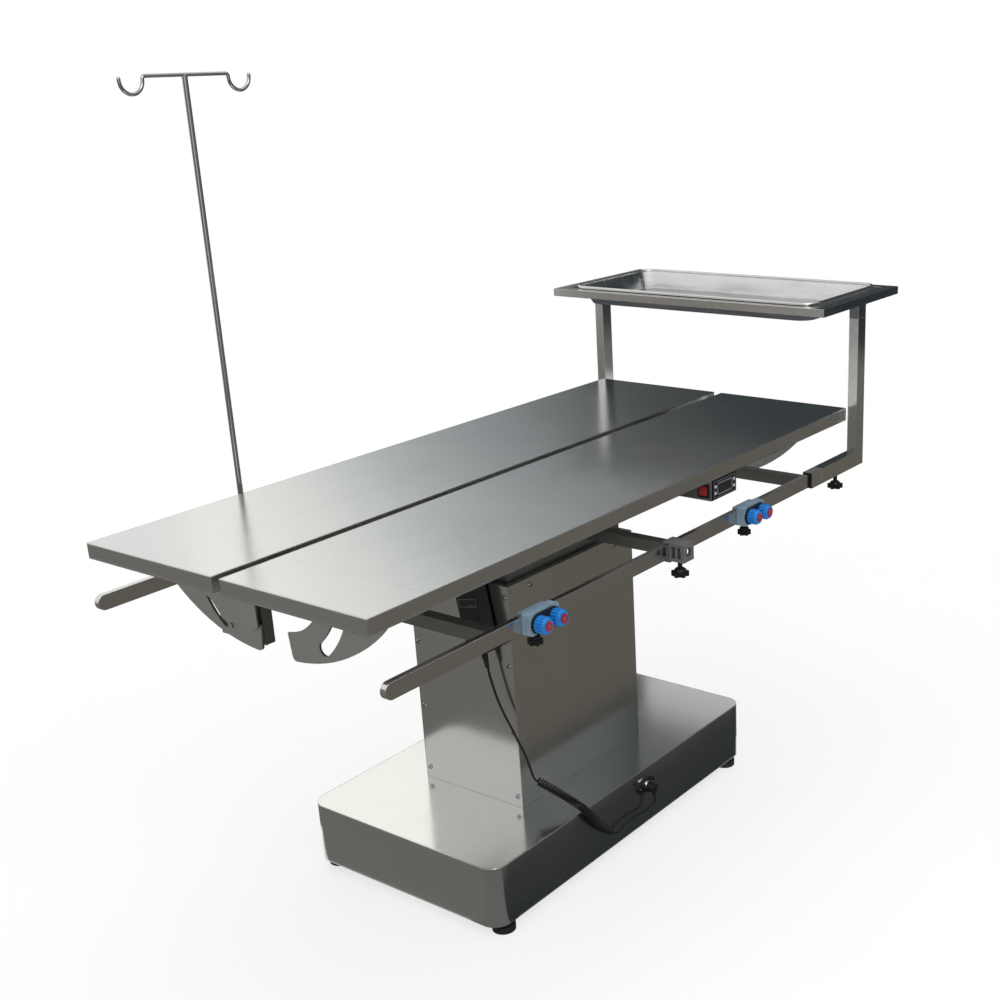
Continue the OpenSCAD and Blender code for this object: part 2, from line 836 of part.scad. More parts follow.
module cord_coil() {
    color(black) tube_along(coil_points, cord_d / 2, 6);
}

module cord_plug() {
    out = base_y + flange_thick;
    color(black) {
        y_rod(plug_x, out, plug_z, plug_d, plug_len);
        z_rod(plug_x + stub_x, -out - stub_y, plug_z - stub_len, stub_d, stub_len);
    }
}

// Lifting group: sleeve, inner guide, rod, frame and rails

sleeve_half = [col_len / 2 - lip_w - sleeve_play, col_w / 2 - lip_w - sleeve_play];

module inner_sleeve() {
    color(black) translate([col_off, 0, sleeve_low]) difference() {
        span([-sleeve_half[0], -sleeve_half[1], 0], [sleeve_half[0], sleeve_half[1], arm_low - sleeve_low]);
        span([-sleeve_half[0] + sheet_t, -sleeve_half[1] + sheet_t, -eps],
             [sleeve_half[0] - sheet_t, sleeve_half[1] - sheet_t, arm_low - sleeve_low - sheet_t]);
    }
}

module inner_guide() {
    w = guide_w - 2 * guide_wall - 2 * seat;
    low = guide_top - lift_stroke - guide_hold;
    top = arm_low - sheet_t;
    color(steel) translate([col_off, 0, (low + top) / 2]) box_tube([w, w, top - low], guide_wall, 2);
}

module actuator_rod() {
    color(steel) z_rod(col_off, 0, rod_low, rod_d, arm_low - sheet_t - rod_low);
}

// Sector outline in hinge coordinates: u to the outside, v downwards
module fan_outline(cut) {
    // Centre of the rounded lower corner, which runs in short straight steps from the inner edge to the arc
    d = [sin(cut), cos(cut)];
    o = [fan_out, -fan_up];
    w = fan_corner_r * [cos(cut), -sin(cut)] - o;
    r = fan_r - fan_corner_r;
    c = w + o + (sqrt((d * w) * (d * w) - w * w + r * r) - d * w) * d;
    to_arc = atan2(c[1] - o[1], c[0] - o[0]);
    n = corner_steps;
    corner = [for (i = [0 : n]) let (a = 180 - cut + (to_arc + cut - 180) * i / n)
        c + fan_corner_r * [cos(a), sin(a)]];
    slot_top_deg = lock_deg + slot_spare_deg;
    difference() {
        intersection() {
            translate(o) circle(fan_r, $fn = 128);
            translate([0, edge_h - hinge_drop]) square([2 * fan_r, fan_r]);
            rotate(-cut) square([2 * fan_r, 2 * fan_r]);
        }
        polygon(concat([corner[0] + (corner[0] - corner[1]) / 4], [for (i = [1 : n - 1]) corner[i]],
            [corner[n] + (corner[n] - corner[n - 1]) / 4], [c + 1.5 * (corner[0] + corner[n] - 2 * c)]));
        circle(hollow_r, $fn = 128);
        intersection() {
            difference() {
                circle(slot_r + slot_w / 2, $fn = 128);
                circle(slot_r - slot_w / 2, $fn = 128);
            }
            polygon(concat([[0, 0]], [for (a = [slot_low_deg, (slot_low_deg + lock_deg) / 2, slot_top_deg])
                2 * fan_r * [sin(a), cos(a)]]));
        }
        for (a = [slot_low_deg, slot_top_deg])
            translate(slot_r * [sin(a), cos(a)]) circle(slot_w / 2);
    }
}

// Places an outline given in hinge coordinates at the hinge on side j
module at_hinge(x, t, j) {
    translate([x - t / 2, j * hinge_y, hinge_z]) mirror([0, j < 0 ? 1 : 0, 0]) mirror([0, 0, 1])
        rotate([90, 0, 90]) linear_extrude(t) children();
}

lock_x = fan_x - fan_t / 2 - fan_play - lock_bar_t / 2;
lock_y = hinge_y + slot_r * sin(lock_deg);
lock_z = hinge_z - slot_r * cos(lock_deg);

module ear(x) {
    translate([x - ear_t / 2, 0, 0]) difference() {
        union() {
            span([0, -hinge_y - ear_r, beam_top], [ear_t, hinge_y + ear_r, beam_top + ear_web]);
            for (j = [-1, 1]) {
                span([0, j * hinge_y - ear_r, beam_top], [ear_t, j * hinge_y + ear_r, hinge_z]);
                x_rod(0, j * hinge_y, hinge_z, 2 * ear_r, ear_t);
            }
        }
        for (j = [-1, 1]) x_rod(-eps, j * hinge_y, hinge_z, pin_d, ear_t + 2 * eps);
    }
}

module table_frame() {
    beam_mid = beam_low + beam_h / 2;
    color(steel) {
        difference() {
            union() {
                translate([0, 0, beam_mid]) cube([2 * beam_half, beam_w, beam_h], center = true);
                for (k = [-1, 0, 1])
                    span([arm_off + k * arm_pitch - arm_w / 2, -rail_in, arm_low],
                         [arm_off + k * arm_pitch + arm_w / 2, rail_in, arm_low + arm_h]);
                span([col_off - head_len / 2, -head_w / 2, arm_low],
                     [col_off + head_len / 2, head_w / 2, beam_low]);
            }
            translate([0, 0, beam_mid])
                cube([2 * beam_half + 2 * eps, beam_w - 2 * beam_wall, beam_h - 2 * beam_wall],
                     center = true);
        }
        for (k = ear_places) ear(k * ear_pitch);
        for (i = [0, 1]) mirror([i, 0, 0]) {
            difference() {
                union() {
                    span([lock_x - lock_bar_t / 2, -lock_y - stud_d, lock_low],
                         [lock_x + lock_bar_t / 2, lock_y + stud_d, under_z - seat]);
                    span([beam_half - eps, -stem_w / 2, lock_low - stem_drop],
                         [lock_x + lock_bar_t / 2, stem_w / 2, beam_top]);
                }
                for (j = [-1, 1])
                    x_rod(lock_x - lock_bar_t, j * lock_y, lock_z, stud_screw_d + 2 * run_c, 2 * lock_bar_t);
                // Room for the panels' inner edges, which dip as they tilt
                span([lock_x - lock_bar_t, -hinge_y - foot_neck, beam_top + ear_web],
                     [lock_x + lock_bar_t, hinge_y + foot_neck, under_z]);
            }
        }
    }
}

// Fork round the left tilt plate: a folded bracket behind it, a link through the plate's hollow and a
// guard plate in front, which the lock stud passes
module lock_brackets() {
    x1 = lock_x + lock_bar_t / 2;
    x2 = x1 + fan_t + 2 * fan_play;
    y1 = stem_w / 2;
    color(steel) for (i = [0, 1]) mirror([i, 0, 0]) {
        difference() {
            span([x1 - bracket_deep, y1, bracket_low], [x1, y1 + bracket_w, lock_low]);
            span([x1 - bracket_deep - eps, y1 + bracket_t, bracket_low - eps],
                 [x1 - bracket_t, y1 + bracket_w + eps, lock_low + eps]);
        }
        span([x1, y1, under_z - seat - link_h], [x2, y1 + link_w, under_z - seat]);
        difference() {
            translate([0, y1, under_z - seat]) yz_plate(x2, guard_t)
                polygon([for (p = guard_shares) [p[0] * guard_w, -p[1] * guard_h]]);
            x_rod(x2 - eps, lock_y, lock_z, stud_screw_d + 2 * run_c, guard_t + 2 * eps);
        }
        x_rod(x2 + guard_t, y1 + guard_bolt_shares[0] * guard_w,
            under_z - seat - guard_bolt_shares[1] * guard_h, guard_bolt_d, guard_t);
    }
}

module side_rail(j) {
    color(steel) translate([0, j > 0 ? rail_out : -rail_in, rail_z]) rotate([90, 0, 0])
        linear_extrude(rail_t) {
            translate([-rail_near + rail_h / 2, -rail_h / 2])
                square([rail_near + rail_far - rail_h / 2, rail_h]);
            translate([-rail_near + rail_h / 2, 0]) circle(d = rail_h);
        }
}

module rail_right() {
    side_rail(-1);
}

module rail_left() {
    side_rail(1);
}

module hinge_pins() {
    pin_len = ear_t + 2 * leaf_t + 4 * leaf_play;
    color(dark) {
        for (k = ear_places, j = [-1, 1])
            x_rod(k * ear_pitch - pin_len / 2, j * hinge_y, hinge_z, pin_d, pin_len);
        // Plain guide studs at the far end
        x_rod(lock_x - lock_bar_t / 2, -lock_y, lock_z, stud_screw_d, lock_bar_t);
        x_rod(lock_x - lock_bar_t / 2, lock_y, lock_z, stud_screw_d, lock_bar_t);
        for (j = [-1, 1]) x_rod(lock_x + lock_bar_t / 2, j * lock_y, lock_z, stud_d, fan_t + 2 * fan_play);
    }
}

// Lock knobs at the near end: a stud through the plate's slot and a lobed grip
module lock_knob(side, through) {
    color(black) translate([-lock_x, side * lock_y, lock_z]) rotate([0, -90, 0])
        translate([0, 0, -lock_bar_t / 2]) {
            cylinder(d = stud_screw_d, h = lock_bar_t + run_c);
            translate([0, 0, lock_bar_t + run_c]) cylinder(d = stud_d, h = fan_t + 2 * fan_play - 2 * run_c);
            translate([0, 0, lock_bar_t + fan_t + fan_play])
                cylinder(d = stud_screw_d, h = fan_play + through + eps);
            translate([0, 0, lock_bar_t + fan_t + 2 * fan_play + through]) {
                linear_extrude(lock_knob_t * 2 / 3) star(lock_knob_d);
                cylinder(d = lock_knob_d * knob_core, h = lock_knob_t);
            }
        }
}

module tilt_knob_right() {
    lock_knob(-1, 0);
}

module tilt_knob_left() {
    lock_knob(1, guard_t + run_c);
}

// Panels with channels, hinge leaves and tilt plates

module pan(j) {
    in_y = gap_w / 2;
    out_y = top_w / 2;
    half = half_len;
    clear_h = edge_h - skin_t;
    mirror([0, j < 0 ? 1 : 0, 0]) {
        difference() {
            union() {
                difference() {
                    span([-half, in_y, under_z], [half, out_y, top_h]);
                    span([-half + skin_t, in_y + skin_t, under_z - eps],
                         [half - skin_t, out_y - skin_t, top_h - skin_t]);
                }
                difference() {
                    span([-half, in_y, under_z], [half, out_y, under_z + skin_t]);
                    span([-half + rim_w, in_y + skin_t, under_z - eps],
                         [half - rim_w, out_y - rim_w, under_z + skin_t + eps]);
                }
                for (i = [-1, 1])
                    translate([i * fan_x, (in_y + out_y + 2 * ear_r) / 2, under_z + clear_h / 2])
                        box_tube([rib_w, panel_w - 2 * skin_t - 2 * ear_r, clear_h], skin_t, 1);
                for (k = [1, 2])
                    translate([0, in_y + k * panel_w / 3, under_z + clear_h / 2])
                        box_tube([2 * fan_x - rib_w, rib_w, clear_h], skin_t, 0);
                for (k = ear_places, s = [-1, 1]) {
                    lx = k * ear_pitch + s * (ear_t / 2 + leaf_play + leaf_t / 2) - leaf_t / 2;
                    x_rod(lx, hinge_y, hinge_z, 2 * ear_r, leaf_t);
                    span([lx, hinge_y - ear_r, hinge_z], [lx + leaf_t, hinge_y + ear_r, top_h - skin_t]);
                }
            }
            for (k = ear_places)
                span([k * ear_pitch - ear_t / 2 - notch_play, in_y - eps, under_z - eps],
                     [k * ear_pitch + ear_t / 2 + notch_play, in_y + skin_t + eps / 4, hinge_z + notch_h]);
            for (k = ear_places, s = [-1, 1])
                x_rod(k * ear_pitch - ear_t / 2 - 2 * leaf_t, hinge_y, hinge_z, pin_d + 2 * run_c,
                    ear_t + 4 * leaf_t);
        }
    }
}

module right_pan() {
    color(steel) pan(-1);
}

module left_pan() {
    color(steel) pan(1);
}

module right_tilt_plates() {
    color(steel) for (i = [-1, 1]) at_hinge(i * fan_x, fan_t, -1) fan_outline(fan_cut_deg);
}

module left_tilt_plates() {
    color(steel) for (i = [-1, 1]) at_hinge(i * fan_x, fan_t, 1) fan_outline(fan_cut_left_deg);
}

// Thermostat box under the right panel

therm_low = under_z - therm_h;
therm_out = top_w / 2 - bezel_t;

module thermostat_box() {
    color(steel) difference() {
        span([therm_x, -therm_out, therm_low], [therm_x + therm_w, -therm_out + therm_d, under_z]);
        span([therm_x - eps, -switch_y - switch_w / 2, switch_z - switch_h / 2],
             [therm_x + switch_t, -switch_y + switch_w / 2, switch_z + switch_h / 2]);
    }
}

module control_bezels() {
    color(black) {
        span([therm_x + (therm_w - bezel_w) / 2, -therm_out - bezel_t, under_z - (therm_h + bezel_h) / 2],
             [therm_x + (therm_w + bezel_w) / 2, -therm_out, under_z - (therm_h - bezel_h) / 2]);
        difference() {
            span([therm_x - switch_rim, -switch_y - switch_w / 2 - switch_rim,
                  switch_z - switch_h / 2 - switch_rim],
                 [therm_x, -switch_y + switch_w / 2 + switch_rim, switch_z + switch_h / 2 + switch_rim]);
            span([therm_x - switch_rim - eps, -switch_y - switch_w / 2, switch_z - switch_h / 2],
                 [therm_x + eps, -switch_y + switch_w / 2, switch_z + switch_h / 2]);
        }
    }
}

module power_switch() {
    w = switch_w - 2 * seat;
    h = switch_h - 2 * seat;
    color([0.75, 0.12, 0.08]) translate([therm_x - switch_rim, -switch_y - w / 2, switch_z])
        intersection() {
            span([-switch_rim, 0, -h / 2], [switch_rim + switch_t / 2, w, h / 2]);
            translate([switch_h, -eps, 0]) rotate([-90, 0, 0])
                cylinder(r = switch_h + switch_rim / 2, h = w + 2 * eps);
        }
}

// Rail clamps. Out is measured from the rail's outer face, x from the clamp's middle

module on_rail(x, j) {
    translate([x, 0, rail_z]) mirror([0, j > 0 ? 1 : 0, 0]) translate([0, -rail_out, 0]) children();
}

// Jaw that hooks over and under the rail
module jaw(len, boss_at) {
    top = rail_h / 2 + seat;
    difference() {
        union() {
            span([-len / 2, -seat, top], [len / 2, rail_t + seat + lip_t, top + flange_t]);
            span([-len / 2, rail_t + seat, arm_h / 2 + lip_clear],
                 [len / 2, rail_t + seat + lip_t, top + flange_t]);
            span([-len / 2, -seat, -top - flange_t], [len / 2, rail_t + seat + lip_t, -top]);
            span([-len / 2, rail_t + seat, -top - flange_t],
                 [len / 2, rail_t + seat + lip_t, -arm_h / 2 - lip_clear]);
            span([-boss_w / 2, -seat, -top - boss_h], [boss_w / 2, rail_t + seat, -top]);
        }
        z_rod(0, boss_at, -top - boss_h - eps, screw_d + 2 * run_c, boss_h + 2 * eps);
    }
}

module star(d) {
    circle(d = d * knob_core);
    for (k = [0 : knob_lobes - 1])
        rotate(k * 360 / knob_lobes) translate([d * knob_core / 2, 0]) circle(d = d * (1 - knob_core));
}

// Star knob with its screw, top of the screw at the origin
module star_knob(reach, d = knob_d) {
    color(black) {
        translate([0, 0, -reach - knob_h / 2]) cylinder(d = screw_d, h = reach + knob_h / 2);
        translate([0, 0, -reach - knob_h]) linear_extrude(knob_h * 2 / 3) star(d);
        translate([0, 0, -reach - knob_h / 2]) cylinder(d = screw_d * 2, h = knob_h / 2);
        translate([0, 0, -reach - knob_h / 3])
            cylinder(d1 = d * knob_core, d2 = screw_d * 2, h = knob_h / 3);
    }
}

module rope_block(x) {
    color([0.60, 0.68, 0.74]) on_rail(x, -1) {
        translate([0, 0, block_up]) xz_plate(seat, block_t - seat) rrect(block_len, block_h, block_r);
        jaw(block_len - 2 * block_r, rail_t / 2);
    }
}

module rope_pad(x) {
    color(black) on_rail(x, -1) translate([0, 0, cam_up]) xz_plate(block_t, pad_t)
        rrect(pad_len, pad_h, pad_h / 2 - seat);
}

module rope_caps(x) {
    color([0.75, 0.10, 0.12]) on_rail(x, -1) for (s = [-1, 1]) {
        y_rod(s * cam_pitch / 2, block_t + pad_t, cam_up, axle_d, cam_len + seat + cap_t);
        y_rod(s * cam_pitch / 2, block_t + pad_t + seat + cam_len + seat, cam_up, cap_d, cap_t - seat);
    }
}

module rope_cam(x, s) {
    out = block_t + pad_t + seat;
    color([0.15, 0.50, 0.85]) on_rail(x, -1) translate([s * cam_pitch / 2, -out, cam_up])
        rotate([90, 0, 0]) difference() {
            union() {
                linear_extrude(cam_len - cam_nose) difference() {
                    circle(d = cam_d);
                    for (k = [0 : cam_ribs - 1])
                        rotate(k * 360 / cam_ribs) translate([cam_d / 2, 0]) circle(rib_r);
                }
                translate([0, 0, cam_len - cam_nose])
                    cylinder(d1 = cam_d - 2 * rib_r, d2 = cam_nose_d, h = cam_nose);
            }
            translate([0, 0, -eps]) cylinder(d = axle_d + 2 * run_c, h = cam_len + 2 * eps);
        }
}

module rail_knob(x, j, drop = knob_drop, d = knob_d) {
    on_rail(x, j) translate([0, rail_t / 2, -rail_h / 2 - seat]) star_knob(boss_h + drop, d);
}

module rope_block_1() {
    rope_block(clamp_1_x);
}

module rope_pad_1() {
    rope_pad(clamp_1_x);
}

module rope_caps_1() {
    rope_caps(clamp_1_x);
}

module rope_cam_1a() {
    rope_cam(clamp_1_x, -1);
}

module rope_cam_1b() {
    rope_cam(clamp_1_x, 1);
}

module rope_knob_1() {
    rail_knob(clamp_1_x, -1, rope_knob_drop, rope_knob_d);
}

module rope_block_2() {
    rope_block(clamp_2_x);
}

module rope_pad_2() {
    rope_pad(clamp_2_x);
}

module rope_caps_2() {
    rope_caps(clamp_2_x);
}

module rope_cam_2a() {
    rope_cam(clamp_2_x, -1);
}

module rope_cam_2b() {
    rope_cam(clamp_2_x, 1);
}

module rope_knob_2() {
    rail_knob(clamp_2_x, -1, rope_knob_drop, rope_knob_d);
}

module socket_clamp() {
    half_h = rail_h / 2 + flange_t;
    color([0.5, 0.5, 0.5]) on_rail(socket_x, -1) difference() {
        union() {
            span([-socket_len / 2, -socket_deep, -half_h], [socket_len / 2, -seat, half_h]);
            jaw(socket_len, rail_t / 2);
        }
        y_rod(0, socket_wall, 0, socket_d, socket_deep);
        for (s = socket_slots)
            span([-socket_len / 2 - eps, -s - socket_slot_w / 2, -socket_slot_h / 2],
                 [socket_len / 2 + eps, -s + socket_slot_w / 2, socket_slot_h / 2]);
        z_rod(0, -socket_knob_out, -half_h - eps, screw_d + 2 * run_c, half_h);
    }
}

module socket_knob() {
    on_rail(socket_x, -1) translate([0, -socket_knob_out, -socket_slot_h / 2])
        star_knob(rail_h / 2 + flange_t - socket_slot_h / 2 + knob_drop);
}

// Drip stand on the left rail

module stand_clamp() {
    half_h = rail_h / 2 + flange_t;
    color([0.5, 0.5, 0.5]) on_rail(stand_x, 1) difference() {
        union() {
            span([-stand_body_x / 2, -stand_body_y, -half_h], [stand_body_x / 2, -seat, half_h]);
            jaw(stand_body_x, rail_t / 2);
        }
        z_rod(0, -stand_out, -half_h + stand_floor, pole_d + 2 * run_c, 2 * half_h);
    }
}

module stand_knob() {
    rail_knob(stand_x, 1);
}

module rod_arc(r, d, a) {
    rotate_extrude(angle = a) translate([r, 0]) circle(d = d);
}

module drip_stand() {
    low = rail_z - rail_h / 2 - flange_t + stand_floor;
    half = cross_len / 2;
    color(steel) translate([stand_x, rail_out + stand_out, 0]) {
        z_rod(0, 0, low, pole_d, stand_top - low);
        translate([cross_off, 0, stand_top]) {
            x_rod(-half + bend_r, 0, 0, hook_d, cross_len - 2 * bend_r);
            for (s = [0, 1]) mirror([s, 0, 0]) {
                translate([half - bend_r, 0, -bend_r]) rotate([90, 0, 0]) rod_arc(bend_r, hook_d, 90);
                translate([half + hook_r, 0, -bend_r]) rotate([-90, 0, 0]) rod_arc(hook_r, hook_d, 180);
                translate([half + 2 * hook_r, 0, -bend_r]) cylinder(d = hook_d, h = hook_tip);
                translate([half + 2 * hook_r, 0, hook_tip - bend_r]) sphere(d = hook_d);
            }
        }
    }
}

// Instrument tray on the far ends of both rails

module tray_frame() {
    half_y = rail_mid + post_t / 2;
    post_x = half_len + post_gap;
    low = rail_z - post_h / 2;
    color(steel) {
        for (j = [0, 1]) mirror([0, j, 0]) difference() {
            union() {
                span([sleeve_x, rail_mid - post_t / 2, low], [post_x + post_h, half_y, low + post_h]);
                span([post_x, rail_mid - post_t / 2, low], [post_x + post_h, half_y, tray_top - bar_h]);
                translate([post_x + post_h, half_y - post_t / 2 + gusset_t / 2, tray_top - bar_h])
                    rotate([90, 0, 0]) linear_extrude(gusset_t) polygon([[0, 0], [gusset, 0], [0, -gusset]]);
            }
            span([sleeve_x - eps, rail_mid - post_t / 2 + post_wall, low + post_wall],
                 [post_x + post_h - post_wall, half_y - post_wall, low + post_h - post_wall]);
            z_rod(tray_knob_x, rail_mid, low - eps, screw_d + 2 * run_c, post_wall + 2 * eps);
        }
        difference() {
            span([tray_mid - tray_len / 2, -half_y, tray_top - bar_h],
                 [tray_mid + tray_len / 2, half_y, tray_top]);
            span([tray_mid - tray_len / 2 + bar_w, -half_y + bar_w, tray_top - bar_h - eps],
                 [tray_mid + tray_len / 2 - bar_w, half_y - bar_w, tray_top + eps]);
        }
    }
}

pan_half = [tray_len / 2 - bar_w + pan_bear, rail_mid + post_t / 2 - pan_end_in];

// Solid with sloping sides and rounded corners, from the floor up to the rim
module pan_form(inset, low, high) {
    rim_in = pan_bear + eps + inset;
    hull() for (i = [-1, 1], j = [-1, 1]) {
        translate([i * (pan_half[0] - rim_in - pan_r), j * (pan_half[1] - rim_in - pan_r), high])
            cylinder(r = pan_r, h = eps / 4, $fn = 32);
        translate([i * (pan_half[0] - rim_in - pan_r - pan_slope),
                   j * (pan_half[1] - rim_in - pan_r - pan_slope), low])
            cylinder(r = pan_r, h = eps / 4, $fn = 32);
    }
}

module tray_pan() {
    z0 = tray_top + seat;
    low = tray_top - pan_depth;
    bx = pan_half[0] - bead_d / 2;
    by = pan_half[1] - bead_d / 2;
    color([0.85, 0.86, 0.87]) {
        difference() {
            pan_form(0, low, z0 + flange_h - eps / 4);
            pan_form(pan_t, low + pan_t, z0 + flange_h);
        }
        difference() {
            translate([0, 0, z0]) linear_extrude(flange_h) rrect(2 * bx, 2 * by, pan_r + bead_d / 2);
            translate([0, 0, z0 - eps]) linear_extrude(flange_h + 2 * eps)
                rrect(2 * (pan_half[0] - pan_bear - eps - pan_t), 2 * (pan_half[1] - pan_bear - eps - pan_t),
                      pan_r - pan_t);
        }
        translate([0, 0, z0 + bead_d / 2]) {
            cr = pan_r + bead_d / 2;
            for (i = [0, 1], j = [0, 1]) mirror([i, 0, 0]) mirror([0, j, 0])
                translate([bx - cr, by - cr, 0]) rod_arc(cr, bead_d, 90);
            for (s = [-1, 1]) {
                translate([0, s * by, 0]) rotate([0, 90, 0])
                    cylinder(d = bead_d, h = 2 * (bx - cr), center = true);
                translate([s * bx, 0, 0]) rotate([90, 0, 0])
                    cylinder(d = bead_d, h = 2 * (by - cr), center = true);
            }
        }
    }
}

module pan_placed() {
    translate([tray_mid, 0, 0]) tray_pan();
}

module tray_knob(j) {
    translate([tray_knob_x, j * rail_mid, rail_z - rail_h / 2 - seat]) star_knob(post_wall + knob_drop);
}

module tray_knob_right() {
    tray_knob(-1);
}

module tray_knob_left() {
    tray_knob(1);
}

placed() base_cover();
placed() base_frame();
placed() foot_near_right();
placed() foot_near_left();
placed() foot_far_right();
placed() foot_far_left();
placed() column_ends();
placed() column_sides();
placed() column_frame();
placed() column_screws();
placed() actuator_body();
placed() base_sockets();
placed() socket_ring();
placed() handset_holder();
placed() handset_shell();
placed() key_up();
placed() key_down();
placed() strain_relief();
placed() cord_upper();
placed() cord_coil();
placed() cord_lower();
placed() cord_plug();
placed() inner_sleeve();
placed() inner_guide();
placed() actuator_rod();
placed() table_frame();
placed() lock_brackets();
placed() rail_right();
placed() rail_left();
placed() hinge_pins();
placed() tilt_knob_right();
placed() tilt_knob_left();
placed() right_pan();
placed() left_pan();
placed() right_tilt_plates();
placed() left_tilt_plates();
placed() thermostat_box();
placed() control_bezels();
placed() power_switch();
placed() rope_block_1();
placed() rope_pad_1();
placed() rope_caps_1();
placed() rope_cam_1a();
placed() rope_cam_1b();
placed() rope_knob_1();
placed() rope_block_2();
placed() rope_pad_2();
placed() rope_caps_2();
placed() rope_cam_2a();
placed() rope_cam_2b();
placed() rope_knob_2();
placed() socket_clamp();
placed() socket_knob();
placed() stand_clamp();
placed() stand_knob();
placed() drip_stand();
placed() tray_frame();
placed() pan_placed();  // tray_pan
placed() tray_knob_right();
placed() tray_knob_left();
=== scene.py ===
import bpy
import bmesh
import math
from mathutils import Matrix, Vector


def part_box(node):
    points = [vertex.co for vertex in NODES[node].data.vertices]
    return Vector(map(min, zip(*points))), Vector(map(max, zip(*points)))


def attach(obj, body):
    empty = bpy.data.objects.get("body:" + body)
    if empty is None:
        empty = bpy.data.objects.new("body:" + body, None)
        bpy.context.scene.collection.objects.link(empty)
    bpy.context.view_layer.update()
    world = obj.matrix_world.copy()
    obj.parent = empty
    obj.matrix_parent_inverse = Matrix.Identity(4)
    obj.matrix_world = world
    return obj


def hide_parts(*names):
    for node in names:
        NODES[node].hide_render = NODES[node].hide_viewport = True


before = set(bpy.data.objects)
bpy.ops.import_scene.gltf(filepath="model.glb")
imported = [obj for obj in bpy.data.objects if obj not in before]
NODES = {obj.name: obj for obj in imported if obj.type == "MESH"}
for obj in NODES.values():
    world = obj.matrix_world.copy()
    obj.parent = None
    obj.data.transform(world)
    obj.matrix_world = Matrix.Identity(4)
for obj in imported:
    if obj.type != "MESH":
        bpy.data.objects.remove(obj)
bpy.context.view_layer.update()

# part.scad measures in millimetres from the middle of the table top, where the frame's origin is at (OX, OY)
MM = 1000
OX, OY = 88.5, -2.65


def at(x, y, z):
    """A point of part.scad, in millimetres, as a point of the frame, in metres."""
    return Vector(((x - OX) / MM, (y - OY) / MM, z / MM))


# ---------------------------------------------------------------- camera, solved from straight edges in the photo
PHOTO = 1000                            # pixels along a side of the photo
FOCAL = 1399.69                         # focal length in pixels
CENTRE = (638.22, 569.37)               # pixel that the camera looks at
SENSOR = 36                             # millimetres
CAMERA_AT = (-1780.1, -1560.5, 1343.4)
FORWARD = (0.7582, 0.5564, -0.3398)
DOWN = (-0.2944, -0.1729, -0.9399)


def make_camera():
    data = bpy.data.cameras.new("photo_camera")
    cam = bpy.data.objects.new("photo_camera", data)
    bpy.context.scene.collection.objects.link(cam)
    forward = Vector(FORWARD).normalized()
    up = -Vector(DOWN)
    up = (up - up.dot(forward) * forward).normalized()
    right = forward.cross(up)
    m = Matrix((right, up, -forward)).transposed().to_4x4()
    m.translation = at(*CAMERA_AT)
    cam.matrix_world = m
    data.sensor_width = SENSOR
    data.lens = FOCAL * SENSOR / PHOTO
    data.shift_x = (PHOTO / 2 - CENTRE[0]) / PHOTO
    data.shift_y = (CENTRE[1] - PHOTO / 2) / PHOTO
    data.clip_start = 0.05
    data.clip_end = 60
    bpy.context.scene.camera = cam


make_camera()


# ---------------------------------------------------------------- path of the handset's cord, as in part.scad
CORD_D, COIL_D, TURNS = 3.4, 15.0, 44
RINGS = 8                               # part.scad's points in a turn
FINER = 3                               # points here to each of those
LEAD, LEAD_STEP = 2, 2.1                # straight steps on either side of the curls, and their length
OPEN = 1.6                              # how much wider the first and last turn are spaced
ROUTE_PARTS = 200                       # parts in which a route is measured
ROUTE_STEP = 3.0                        # way between points outside the curls
LEAST_STEP = 0.0006                     # points closer than this are left out, in metres
EASED_AT = 7                            # points from a join to the middle of what is eased there
SHEATH = 0.26                           # how much thicker the straight stretch is
coil_low = (-55, -217, 58)
coil_high = (-158, -131, 188)
upper_route = [(-187.7, -70.9, 395.2), (-187.7, -73.9, 379.2), (-187, -85, 344.2), (-186, -97, 317),
               (-184, -117, 281), (-180, -133, 246), (-169, -134, 214), coil_high]
coil_route = [coil_high, (-149, -164, 173), (-140, -192, 158), (-130, -212, 142), (-118, -221, 123),
              (-102, -222, 103), (-80, -220, 80), coil_low]
lower_route = [coil_low, (-48, -216, 50), (-38, -217, 49), (-25, -218, 55), (5, -218, 57), (38, -218, 54),
               (60, -220, 57), (68, -224, 68), (63, -226, 83)]


def spline(points, n):
    """n + 1 points on a smooth curve through the given ones."""
    P = [Vector(p) for p in points]
    P = [2 * P[0] - P[1]] + P + [2 * P[-1] - P[-2]]
    out = []
    for s in range(n + 1):
        u = (len(P) - 3) * s / n
        i = min(int(u), len(P) - 4)
        t = u - i
        p, q, r, w = P[i:i + 4]
        out.append(((2 * q) + (r - p) * t + (2 * p - 5 * q + 4 * r - w) * t * t
                    + (3 * q - p - 3 * r + w) * t ** 3) / 2)
    return out


def ways(line):
    """The way along a line to each of its points."""
    way = [0.0]
    for a, b in zip(line, line[1:]):
        way.append(way[-1] + (b - a).length)
    return way


def at_way(line, way, d):
    """The point of a line that lies d along it."""
    lo, hi = 0, len(way) - 1
    while hi - lo > 1:
        m = (lo + hi) // 2
        lo, hi = (m, hi) if way[m] <= d else (lo, m)
    return line[lo].lerp(line[lo + 1], (d - way[lo]) / (way[lo + 1] - way[lo]))


